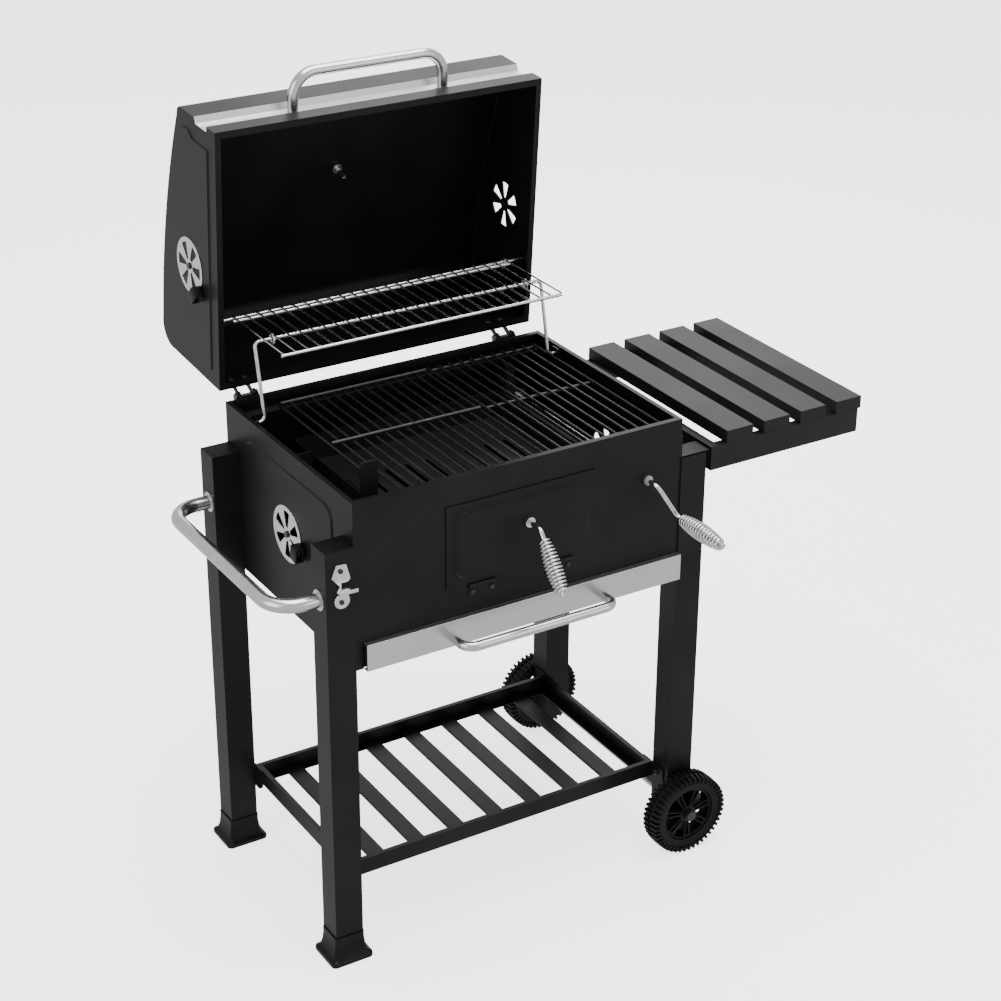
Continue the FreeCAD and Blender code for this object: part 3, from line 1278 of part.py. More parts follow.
def turned_pad(x0, x1, z0, z1, corner, y, height):
    """A rounded pad rising towards the front from y."""
    pad = raised_pad(x0, x1, z0, z1, corner, 0, height)
    pad.rotate(V(0, 0, 0), Z_AXIS, -90)
    pad.translate(V(0, y, 0))
    return pad


def door_panel():
    """Fuel door with its raised field and a hinge knuckle near each end."""
    face = door_face()
    plate = block(DOOR_LEFT, DOOR_RIGHT, face, face + SHEET, DOOR_BOTTOM, DOOR_TOP)
    m = DOOR_EMBOSS_MARGIN
    field = (DOOR_LEFT + m, DOOR_RIGHT - m, DOOR_BOTTOM + m, DOOR_TOP - m, DOOR_CORNER)
    raised = turned_pad(*field, face, DOOR_EMBOSS)
    hollow = turned_pad(*field, face + SHEET, DOOR_EMBOSS)
    rod_hole = rod((DOOR_HANDLE_X, -20, DOOR_HANDLE_Z), (DOOR_HANDLE_X, 5, DOOR_HANDLE_Z),
                   CRANK_RADIUS)
    panel = plate.fuse(raised).removeSplitter().cut([hollow, rod_hole])
    third = DOOR_HINGE_WIDTH / 3
    knuckles = []
    for x in door_hinge_middles():
        x0, x1 = x - third / 2 + CLEARANCE, x + third / 2 - CLEARANCE
        tube = rod((x0, DOOR_HINGE_Y, DOOR_HINGE_Z), (x1, DOOR_HINGE_Y, DOOR_HINGE_Z),
                   DOOR_KNUCKLE_RADIUS)
        web = block(x0, x1, face, face + SHEET, DOOR_HINGE_Z + 1, DOOR_BOTTOM + 1)
        hole = rod((x0 - 1, DOOR_HINGE_Y, DOOR_HINGE_Z), (x1 + 1, DOOR_HINGE_Y, DOOR_HINGE_Z),
                   DOOR_PIN_RADIUS + RUNNING_FIT)
        knuckles.append(joined([tube, web]).cut(hole))
    return panel.fuse(knuckles).removeSplitter()


def door_hinges():
    """Fixed hinge leaves on the front panel, each with its pin."""
    third = DOOR_HINGE_WIDTH / 3
    leaves = []
    for x in door_hinge_middles():
        x0, x1 = x - DOOR_HINGE_WIDTH / 2, x + DOOR_HINGE_WIDTH / 2
        top = DOOR_HINGE_Z - DOOR_KNUCKLE_RADIUS - CLEARANCE
        plate = block(x0, x1, -SHEET, 0, top - DOOR_HINGE_HEIGHT, top)
        pieces = [plate]
        for a, b in ((x0, x0 + third), (x1 - third, x1)):
            pieces.append(rod((a, DOOR_HINGE_Y, DOOR_HINGE_Z), (b, DOOR_HINGE_Y, DOOR_HINGE_Z),
                              DOOR_KNUCKLE_RADIUS))
            pieces.append(block(a, b, -SHEET, 0, top - 1, DOOR_HINGE_Z))
        pieces.append(rod((x0, DOOR_HINGE_Y, DOOR_HINGE_Z), (x1, DOOR_HINGE_Y, DOOR_HINGE_Z),
                          DOOR_PIN_RADIUS))
        leaves.append(joined(pieces))
    return group(leaves)


def door_handle_route():
    """Path of the door handle's rod."""
    face = door_face() - DOOR_EMBOSS
    x, z = DOOR_HANDLE_X, DOOR_HANDLE_Z
    return [(x, face + SHEET, z), (x, face - DOOR_HANDLE_OUT, z), (x, *DOOR_HANDLE_END)]


def door_handle():
    """Bent rod with a nut and washer where it goes into the door."""
    points = door_handle_route()
    bar = bent_bar(points, CRANK_BEND, CRANK_RADIUS)
    face = door_face() - DOOR_EMBOSS
    x, z = DOOR_HANDLE_X, DOOR_HANDLE_Z
    nut = rod((x, face, z), (x, face - CRANK_NUT_LENGTH, z), CRANK_NUT_RADIUS)
    inner = rod((x, face + SHEET, z), (x, face + SHEET + 3, z), CRANK_NUT_RADIUS)
    return joined([bar, nut, inner])


def door_grip():
    """Grip on the door handle's rod."""
    corner, end = V(*door_handle_route()[1]), V(*door_handle_route()[2])
    start = corner + (end - corner) * DOOR_GRIP_START
    stop = corner + (end - corner) * DOOR_GRIP_END
    return barrel(tuple(start), tuple(stop), GRIP_END_RADIUS, GRIP_MIDDLE_RADIUS, CRANK_RADIUS)


# Ash drawer ------------------------------------------------------------------------------------------------------

def drawer_front():
    """Stainless drawer front with its top and bottom edges turned back."""
    y = -DRAWER_STANDOFF
    plate = block(DRAWER_LEFT, DRAWER_RIGHT, y, y + SHEET, BOX_BOTTOM, DRAWER_TOP)
    folds = [block(DRAWER_LEFT, DRAWER_RIGHT, y + SHEET, -CLEARANCE, z, z + SHEET)
             for z in (BOX_BOTTOM, DRAWER_TOP - SHEET)]
    return joined([plate] + folds)


def drawer_tray():
    """Open ash tray behind the drawer front."""
    x0, x1 = TRAY_INSET, BOX_WIDTH - TRAY_INSET
    y0 = -DRAWER_STANDOFF + SHEET
    z1 = TRAY_FLOOR + TRAY_HEIGHT
    tray = block(x0, x1, y0, TRAY_BACK, TRAY_FLOOR, z1)
    return tray.cut(block(x0 + SHEET, x1 - SHEET, y0 + SHEET, TRAY_BACK - SHEET,
                          TRAY_FLOOR + SHEET, z1 + 1))


def drawer_handle():
    """Bent bar on the drawer front."""
    y0 = -DRAWER_STANDOFF
    y1 = y0 - DRAWER_HANDLE_REACH
    z = DRAWER_HANDLE_Z
    xs = (BOX_MIDDLE_X - DRAWER_HANDLE_SPAN / 2, BOX_MIDDLE_X + DRAWER_HANDLE_SPAN / 2)
    return bent_bar([(xs[0], y0, z), (xs[0], y1, z), (xs[1], y1, z), (xs[1], y0, z)],
                    DRAWER_HANDLE_BEND, DRAWER_HANDLE_RADIUS)


# Fasteners ---------------------------------------------------------------------------------------------------------

def cart_fasteners():
    """Bolt heads, screws, axle nuts and vent rivets that stay with the cart."""
    bolts = []
    for x, axis in ((0, (1, 0, 0)), (BOX_WIDTH, (-1, 0, 0))):
        inside = x + axis[0] * SHEET
        for y in (LEG_FRONT_FACE + LEG_Y / 2, BACK_LEG_FRONT + LEG_Y / 2):
            for z in (BOX_BOTTOM + 60, LEG_TOP - 14):
                bolts.append(domed_head((inside, y, z), axis, BOLT_HEAD_RADIUS,
                                        BOLT_HEAD_HEIGHT))
    for right, inward in ((0, 1), (1, -1)):
        wall = right * BOX_WIDTH + inward * SHELF_END_GAP
        for y in (LEG_FRONT_FACE + LEG_Y - 14, BACK_LEG_FRONT + 14):
            bolts.append(domed_head((wall, y, SHELF_TOP - SHELF_RAIL_HEIGHT / 2),
                                    (inward, 0, 0), BOLT_HEAD_RADIUS, BOLT_HEAD_HEIGHT))
    for x in door_hinge_middles():
        for side in (-1, 1):
            z = DOOR_HINGE_Z - DOOR_KNUCKLE_RADIUS - CLEARANCE - DOOR_HINGE_HEIGHT / 2
            bolts.append(domed_head((x + side * 17.5, -SHEET, z), (0, -1, 0),
                                    SCREW_HEAD_RADIUS, SCREW_HEAD_HEIGHT))
    for along, up in OPENER_SCREWS:
        bolts.append(domed_head(tuple(opener_spot(along, up, OPENER_SHEET)), (0, -1, 0),
                                SCREW_HEAD_RADIUS, SCREW_HEAD_HEIGHT))
    front, back = axle_ends()
    for end, inward in ((front, 1), (back, -1)):
        length = NUT_LENGTH
        nut = rod((AXLE_X, end - inward * 1, WHEEL_RADIUS),
                  (AXLE_X, end + inward * (length - 1), WHEEL_RADIUS), AXLE_RADIUS + 4)
        bore = rod((AXLE_X, end, WHEEL_RADIUS), (AXLE_X, end + inward * length, WHEEL_RADIUS),
                   AXLE_RADIUS)
        bolts.append(nut.cut(bore))
    centre = (BOX_MIDDLE_Y, BOX_VENT_HEIGHT)
    bolts.append(vent_rivet(-SIDE_EMBOSS, -1, centre))
    bolts.append(vent_rivet(BOX_WIDTH + SIDE_EMBOSS, 1, centre))
    return group(bolts)


def lid_fasteners():
    """Vent rivets, handle screws and hinge bolts that move with the lid."""
    pieces = [vent_rivet(LID_LEFT - SIDE_EMBOSS, -1, lid_vent_centre()),
              vent_rivet(LID_RIGHT + SIDE_EMBOSS, 1, lid_vent_centre())]
    inside = LID_FRONT + RECESS_DEPTH + SHEET
    z = LID_BOTTOM + RECESS_BOTTOM + 1 + STRIP_HEIGHT / 2
    for side in (-1, 1):
        x = BOX_MIDDLE_X + side * LID_HANDLE_SPAN / 2
        pieces.append(domed_head((x, inside, z), (0, 1, 0), BOLT_HEAD_RADIUS,
                                 BOLT_HEAD_HEIGHT))
    z = LID_BOTTOM + 6 + HINGE_PLATE_HEIGHT - 10
    for x in HINGE_POSITIONS:
        for side in (-1, 1):
            pieces.append(domed_head((x + side * 12, LID_BACK - SHEET, z), (0, -1, 0),
                                     BOLT_HEAD_RADIUS, BOLT_HEAD_HEIGHT))
    return group(pieces)


# Assembly ----------------------------------------------------------------------------------------------------------

def lid_nodes():
    """Nodes that turn with the lid, still closed."""
    centre = lid_vent_centre()
    return {
        "lid_shell": lid_shell(),
        "lid_left_side": lid_side(False),
        "lid_right_side": lid_side(True),
        "lid_trim_strip": lid_strip(),
        "lid_handle": lid_handle(),
        "lid_hinge_arms": lid_hinge_arms(),
        "lid_fasteners": lid_fasteners(),
        "thermometer": thermometer(),
        "lid_vent_left": vent_damper(LID_LEFT - SIDE_EMBOSS, -1, centre, LID_VENT_KNOB_ANGLE),
        "lid_vent_right": vent_damper(LID_RIGHT + SIDE_EMBOSS, 1, centre,
                                      OPEN_LID_VENT_KNOB_ANGLE),
    }


def cart_nodes():
    """All nodes that aren't on the lid."""
    nodes = {
        "firebox_front_panel": firebox_front(),
        "firebox_back_panel": firebox_back(),
        "firebox_left_panel": firebox_side(False),
        "firebox_right_panel": firebox_side(True),
        "drawer_runners": drawer_runners(),
        "grate_ledges": grate_ledges(),
        "axle": axle(),
        "shelf_frame": shelf_rails(),
        "shelf_slats": shelf_slats(),
        "shelf_brackets": shelf_brackets(),
        "table_long_rails": table_long_rails(),
        "table_side_rails": table_side_rails(),
        "table_slats": table_slats(),
        "table_arms": table_arms(),
        "push_handle": push_handle(),
        "bottle_opener": bottle_opener(),
        "lid_hinge_brackets": lid_hinge_brackets(),
        "lid_hinge_pins": lid_hinge_pins(),
        "warming_rack": warming_rack(),
        "rack_leg_frame": rack_leg_frame(),
        "cooking_grate_left": cooking_grate(GRATE_LEFT_START, GRATE_SPLIT - GRATE_GAP / 2, True),
        "cooking_grate_right": cooking_grate(GRATE_SPLIT + GRATE_GAP / 2, GRATE_RIGHT_END, False),
        "charcoal_pan": charcoal_pan(),
        "pan_lift_frame": lift_frame(),
        "pan_guides": pan_guides(),
        "crank_rod": crank_rod(),
        "crank_grip": crank_grip(),
        "crank_pinions": crank_pinions(),
        "crank_bushings": crank_bushings(),
        "door_panel": door_panel(),
        "door_hinges": door_hinges(),
        "door_handle": door_handle(),
        "door_grip": door_grip(),
        "drawer_front": drawer_front(),
        "drawer_tray": drawer_tray(),
        "drawer_handle": drawer_handle(),
        "cart_fasteners": cart_fasteners(),
    }
    centre = (BOX_MIDDLE_Y, BOX_VENT_HEIGHT)
    nodes["firebox_vent_left"] = vent_damper(-SIDE_EMBOSS, -1, centre, BOX_VENT_KNOB_ANGLE)
    nodes["firebox_vent_right"] = vent_damper(BOX_WIDTH + SIDE_EMBOSS, 1, centre,
                                               BOX_VENT_KNOB_ANGLE)
    for back, end in ((False, "front"), (True, "back")):
        nodes["leg_left_" + end] = leg(False, back)
        nodes["leg_right_" + end] = leg(True, back)
        nodes["foot_" + end] = foot(back)
        nodes["wheel_tyre_" + end] = wheel_tyre(back)
        nodes["wheel_hub_" + end] = wheel_hub(back)
    return nodes


def all_nodes():
    """Every node in the working axes, with the lid open."""
    nodes = cart_nodes()
    for name, shape in lid_nodes().items():
        shape.rotate(V(0, PIVOT_Y, PIVOT_Z), X_AXIS, -LID_OPEN_ANGLE)
        nodes[name] = shape
    return nodes


def origin(nodes):
    """Middle of the whole part's box, on the floor, in the working axes."""
    box = FreeCAD.BoundBox()
    for shape in nodes.values():
        box.add(shape.BoundBox)
    return V(box.Center.x, box.Center.y, box.ZMin)


def main():
    """Writes one STEP file for each node."""
    os.makedirs("parts", exist_ok=True)
    nodes = all_nodes()
    shift = origin(nodes)
    for name, shape in nodes.items():
        shape.translate(-shift)
        if not shape.isValid():
            print("not valid:", name)
        shape.exportStep("parts/" + name + ".step")
    print("ok", len(nodes), "nodes, origin at", tuple(round(c, 3) for c in shift))


if __name__ == "__main__":
    main()
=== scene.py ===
"""Looks of a wheeled charcoal barbecue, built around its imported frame.

Every piece is in metres, in the frame's own axes: +X from the push handle to the side table,
+Y from the fuel door to the back, and +Z up from the floor.
"""
from __future__ import annotations

import logging
import math
from dataclasses import dataclass
from enum import Enum
from typing import Callable

import bmesh
import bpy
import numpy as np
from mathutils import Matrix, Vector


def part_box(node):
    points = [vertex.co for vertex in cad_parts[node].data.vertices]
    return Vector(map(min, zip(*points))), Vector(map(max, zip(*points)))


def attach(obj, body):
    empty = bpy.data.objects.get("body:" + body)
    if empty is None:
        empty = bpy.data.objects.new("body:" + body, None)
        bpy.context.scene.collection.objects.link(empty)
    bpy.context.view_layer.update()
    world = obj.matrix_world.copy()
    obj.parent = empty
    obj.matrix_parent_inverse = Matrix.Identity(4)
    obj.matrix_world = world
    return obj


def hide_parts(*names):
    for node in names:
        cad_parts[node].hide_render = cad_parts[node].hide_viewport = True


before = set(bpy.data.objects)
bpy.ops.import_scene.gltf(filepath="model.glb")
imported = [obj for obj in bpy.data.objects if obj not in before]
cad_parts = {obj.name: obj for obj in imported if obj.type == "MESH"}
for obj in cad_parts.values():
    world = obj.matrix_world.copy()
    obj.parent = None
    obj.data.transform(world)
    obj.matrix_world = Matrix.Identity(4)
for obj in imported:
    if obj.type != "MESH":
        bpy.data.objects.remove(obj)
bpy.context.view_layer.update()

LOG = logging.getLogger("barbecue")


# Shader tools -----------------------------------------------------------------------------

class Signal:
    """A socket of a material that takes part in sums and products."""

    def __init__(self, shader: "Shader", socket: bpy.types.NodeSocket | None) -> None:
        """Keeps the socket with the shader that it belongs to.

        Args:
            shader: The material that the socket is in.
            socket: An output socket, or None after a node that has none.
        """
        self.shader = shader
        self.socket = socket

    def _maths(self, operation: str, first: object, second: object) -> "Signal":
        """Adds one Math node and returns its result."""
        return self.shader.make("ShaderNodeMath", {"operation": operation},
                                {0: first, 1: second})

    def __add__(self, other: object) -> "Signal":
        """Sum."""
        return self._maths("ADD", self, other)

    def __radd__(self, other: object) -> "Signal":
        """Sum, from the right."""
        return self._maths("ADD", other, self)

    def __sub__(self, other: object) -> "Signal":
        """Difference."""
        return self._maths("SUBTRACT", self, other)

    def __rsub__(self, other: object) -> "Signal":
        """Difference, from the right."""
        return self._maths("SUBTRACT", other, self)

    def __mul__(self, other: object) -> "Signal":
        """Product."""
        return self._maths("MULTIPLY", self, other)

    def __rmul__(self, other: object) -> "Signal":
        """Product, from the right."""
        return self._maths("MULTIPLY", other, self)


class Shader:
    """One material's nodes, all added by one method."""

    def __init__(self, name: str) -> None:
        """Starts an empty material.

        Args:
            name: The material's name.
        """
        self.material = bpy.data.materials.new(name)
        self.material.use_nodes = True
        self.tree = self.material.node_tree
        self.tree.nodes.clear()

    def make(self, kind: str, settings: dict[str, object] | None = None,
             values: dict[object, object] | None = None, out: object = 0) -> Signal:
        """Adds a node.

        Args:
            kind: The node's type.
            settings: Properties of the node, set first.
            values: Numbers, colours or signals for its input sockets, by name or place.
            out: The output to return, by name or place.

        Returns:
            The chosen output, with no socket where the node has none.
        """
        node = self.tree.nodes.new(kind)
        for name, value in (settings or {}).items():
            setattr(node, name, value)
        for key, value in (values or {}).items():
            if isinstance(value, Signal):
                self.tree.links.new(value.socket, node.inputs[key])
            else:
                node.inputs[key].default_value = value
        return Signal(self, node.outputs[out] if node.outputs else None)

    def place(self, scale: tuple[float, float, float] = (1, 1, 1)) -> Signal:
        """Object coordinates, stretched by a scale along each axis."""
        coords = self.make("ShaderNodeTexCoord", out="Object")
        return self.make("ShaderNodeMapping", {}, {"Vector": coords, "Scale": scale})

    def noise(self, place: Signal, scale: float, detail: float = 2.0) -> Signal:
        """Cloudy pattern between 0 and 1, about 0.5."""
        return self.make("ShaderNodeTexNoise", {},
                         {"Vector": place, "Scale": scale, "Detail": detail}, "Fac")

    def blend(self, share: Signal, first: tuple, second: tuple) -> Signal:
        """Mix of two colours."""
        return self.make("ShaderNodeMix", {"data_type": "RGBA"},
                         {0: share, 6: (*first, 1), 7: (*second, 1)}, 2)

    def ramp(self, signal: Signal, low: float, high: float) -> Signal:
        """Stretch of a signal so that low becomes 0 and high becomes 1."""
        return self.make("ShaderNodeMapRange", {"clamp": True},
                         {"Value": signal, "From Min": low, "From Max": high})

    def finish(self, values: dict[str, object], height: Signal | None = None,
               depth: float = 0.0002, strength: float = 0.3) -> bpy.types.Material:
        """Ends the material in one shader.

        Args:
            values: Numbers, colours or signals for the shader's sockets.
            height: Height that bumps the surface.
            depth: How far the bump goes, in metres.
            strength: Share of the bump that shows.

        Returns:
            The finished material.
        """
        values = dict(values)
        if height is not None:
            values["Normal"] = self.make("ShaderNodeBump", {},
                                         {"Height": height, "Distance": depth,
                                          "Strength": strength})
        surface = self.make("ShaderNodeBsdfPrincipled", {}, values)
        self.make("ShaderNodeOutputMaterial", {}, {"Surface": surface})
        return self.material


# Finishes ---------------------------------------------------------------------------------

@dataclass(frozen=True)
class PowderCoat:
    """Satin powder coat with a fine orange peel.

    Attributes:
        name: The material's name.
        colour: Colour of the fresh coat.
        worn: Colour where the coat is cloudy.
        roughness: Middle roughness.
        peel: Grains of orange peel per metre.
        depth: Height of the peel, in metres.
        gloss: How strongly the coat mirrors its surroundings.
    """

    name: str
    colour: tuple[float, float, float]
    worn: tuple[float, float, float]
    roughness: float = 0.40
    peel: float = 520.0
    depth: float = 0.00012
    gloss: float = 0.16

    def build(self) -> bpy.types.Material:
        """Makes the material.

        Returns:
            The finished material.
        """
        shader = Shader(self.name)
        place = shader.place()
        cloud = shader.noise(place, 7.0, 5.0)
        grain = shader.noise(place, self.peel, 2.0)
        speck = shader.noise(place, self.peel * 3.1, 1.0)
        share = shader.ramp(cloud * 0.7 + speck * 0.3, 0.38, 0.68)
        colour = shader.blend(share, self.colour, self.worn)
        roughness = self.roughness + (cloud - 0.5) * 0.16 + (speck - 0.5) * 0.10
        return shader.finish({"Base Color": colour, "Roughness": roughness,
                              "Specular IOR Level": self.gloss},
                             grain * 0.75 + speck * 0.25, self.depth, 0.35)


@dataclass(frozen=True)
class BrushedSteel:
    """Stainless steel with brush lines along one direction.

    Attributes:
        name: The material's name.
        along: Brush lines per metre along each axis.
        colour: Colour of the steel.
        roughness: Middle roughness.
        contrast: How much the lines change roughness and height.
    """

    name: str
    along: tuple[float, float, float]
    colour: tuple[float, float, float] = (0.62, 0.612, 0.595)
    roughness: float = 0.30
    contrast: float = 0.28

    def build(self) -> bpy.types.Material:
        """Makes the material.

        Returns:
            The finished material.
        """
        shader = Shader(self.name)
        lines = shader.noise(shader.place(self.along), 1.0, 4.0)
        cloud = shader.noise(shader.place(), 11.0, 4.0)
        dark = tuple(c * 0.80 for c in self.colour)
        colour = shader.blend(shader.ramp(lines * 0.75 + cloud * 0.25, 0.30, 0.70),
                              dark, self.colour)
        roughness = self.roughness + (lines - 0.5) * self.contrast + (cloud - 0.5) * 0.10
        return shader.finish({"Base Color": colour, "Roughness": roughness,
                              "Metallic": 1.0}, lines, 0.00003, self.contrast)


@dataclass(frozen=True)
class PlatedSteel:
    """Plated steel, from bright chrome to dull zinc.

    Attributes:
        name: The material's name.
        colour: Colour of the clean plating.
        shade: Colour of its duller blotches.
        roughness: Middle roughness.
        metallic: Share of metal in the surface.
        blotch: Blotches per metre.
        depth: Height of the fine texture, in metres.
    """

    name: str
    colour: tuple[float, float, float]
    shade: tuple[float, float, float]
    roughness: float
    metallic: float = 1.0
    blotch: float = 130.0
    depth: float = 0.00003

    def build(self) -> bpy.types.Material:
        """Makes the material.

        Returns:
            The finished material.
        """
        shader = Shader(self.name)
        place = shader.place()
        blotch = shader.noise(place, self.blotch, 4.0)
        fine = shader.noise(place, self.blotch * 9.0, 2.0)
        colour = shader.blend(shader.ramp(blotch, 0.35, 0.65), self.shade, self.colour)
        roughness = self.roughness + (blotch - 0.5) * 0.14 + (fine - 0.5) * 0.10
        return shader.finish({"Base Color": colour, "Roughness": roughness,
                              "Metallic": self.metallic}, fine, self.depth, 0.3)


@dataclass(frozen=True)
class MouldedPlastic:
    """Moulded plastic with a fine spark-eroded grain.

    Attributes:
        name: The material's name.
        colour: Colour of the plastic.
        scuffed: Colour where it is scuffed.
        roughness: Middle roughness.
        grain: Grains per metre.
        depth: Height of the grain, in metres.
        gloss: How strongly the plastic mirrors its surroundings.
    """

    name: str
    colour: tuple[float, float, float]
    scuffed: tuple[float, float, float]
    roughness: float
    grain: float = 900.0
    depth: float = 0.00015
    gloss: float = 0.30

    def build(self) -> bpy.types.Material:
        """Makes the material.

        Returns:
            The finished material.
        """
        shader = Shader(self.name)
        place = shader.place()
        cloud = shader.noise(place, 24.0, 5.0)
        grain = shader.noise(place, self.grain, 2.0)
        colour = shader.blend(shader.ramp(cloud * 0.6 + grain * 0.4, 0.36, 0.70),
                              self.colour, self.scuffed)
        roughness = self.roughness + (cloud - 0.5) * 0.18 + (grain - 0.5) * 0.12
        return shader.finish({"Base Color": colour, "Roughness": roughness,
                              "Specular IOR Level": self.gloss}, grain, self.depth, 0.4)


@dataclass(frozen=True)
class ClearGlass:
    """Thin clear glass over a dial."""

    name: str

    def build(self) -> bpy.types.Material:
        """Makes the material.

        Returns:
            The finished material.
        """
        shader = Shader(self.name)
        smear = shader.noise(shader.place(), 60.0, 3.0)
        return shader.finish({"Base Color": (0.95, 0.97, 0.98, 1),
                              "Roughness": 0.03 + smear * 0.05, "Alpha": 0.16,
                              "IOR": 1.5})


class Finish(Enum):
    """Every finish on the barbecue."""

    BODY = PowderCoat("charcoal_powder_coat", (0.0026, 0.0026, 0.0034),
                      (0.0050, 0.0050, 0.0064), 0.40, gloss=0.13)
    FRAME = PowderCoat("frame_powder_coat", (0.0025, 0.0025, 0.0032),
                       (0.0048, 0.0048, 0.0060), 0.42, 640.0, gloss=0.13)
    TABLE = PowderCoat("table_powder_coat", (0.0036, 0.0036, 0.0044),
                       (0.0068, 0.0068, 0.0082), 0.42, 560.0, gloss=0.15)
    INSIDE = PowderCoat("inner_powder_coat", (0.0060, 0.0060, 0.0068),
                        (0.0100, 0.0100, 0.0112), 0.50, 480.0, gloss=0.22)
    STEEL_ALONG = BrushedSteel("stainless_brushed_along", (4.0, 900.0, 900.0))
    STEEL_TUBE = BrushedSteel("stainless_tube", (90.0, 90.0, 90.0),
                              (0.60, 0.592, 0.578), 0.24, 0.10)
    BRIGHT = PlatedSteel("bright_plating", (0.70, 0.70, 0.71), (0.56, 0.56, 0.58), 0.16)
    WIRE = PlatedSteel("plated_wire", (0.62, 0.62, 0.63), (0.46, 0.46, 0.48), 0.24)
    GRATE = PlatedSteel("dark_grate_wire", (0.040, 0.040, 0.043), (0.020, 0.020, 0.023),
                        0.34, 0.7)
    ZINC = PlatedSteel("zinc_plating", (0.50, 0.50, 0.51), (0.36, 0.36, 0.38), 0.30)
    BLACK_BOLT = PlatedSteel("black_bolt", (0.020, 0.020, 0.023), (0.010, 0.010, 0.012),
                             0.32, 0.4)
    PLASTIC = MouldedPlastic("black_moulded_plastic", (0.0018, 0.0018, 0.0022),
                             (0.0042, 0.0042, 0.0050), 0.40, gloss=0.12)
    TREAD = MouldedPlastic("wheel_tread", (0.0020, 0.0020, 0.0024),
                           (0.0052, 0.0052, 0.0058), 0.52, 500.0, gloss=0.12)
    DIAL = MouldedPlastic("dial_white", (0.74, 0.74, 0.72), (0.80, 0.80, 0.78), 0.45)
    NEEDLE = MouldedPlastic("needle_red", (0.45, 0.02, 0.015), (0.52, 0.03, 0.02), 0.35)
    GLASS = ClearGlass("dial_glass")


class Paintbox:
    """Makes each finish once and hands it out."""

    def __init__(self) -> None:
        """Starts with no material made."""
        self._made: dict[Finish, bpy.types.Material] = {}

    def get(self, finish: Finish) -> bpy.types.Material:
        """The material of a finish, made the first time it is asked for.

        Args:
            finish: The finish wanted.

        Returns:
            Its material.
        """
        if finish not in self._made:
            self._made[finish] = finish.value.build()
        return self._made[finish]

    def dress(self, piece: bpy.types.Object, finish: Finish) -> None:
        """Gives a piece one material all over."""
        piece.data.materials.clear()
        piece.data.materials.append(self.get(finish))


# Modelling tools --------------------------------------------------------------------------

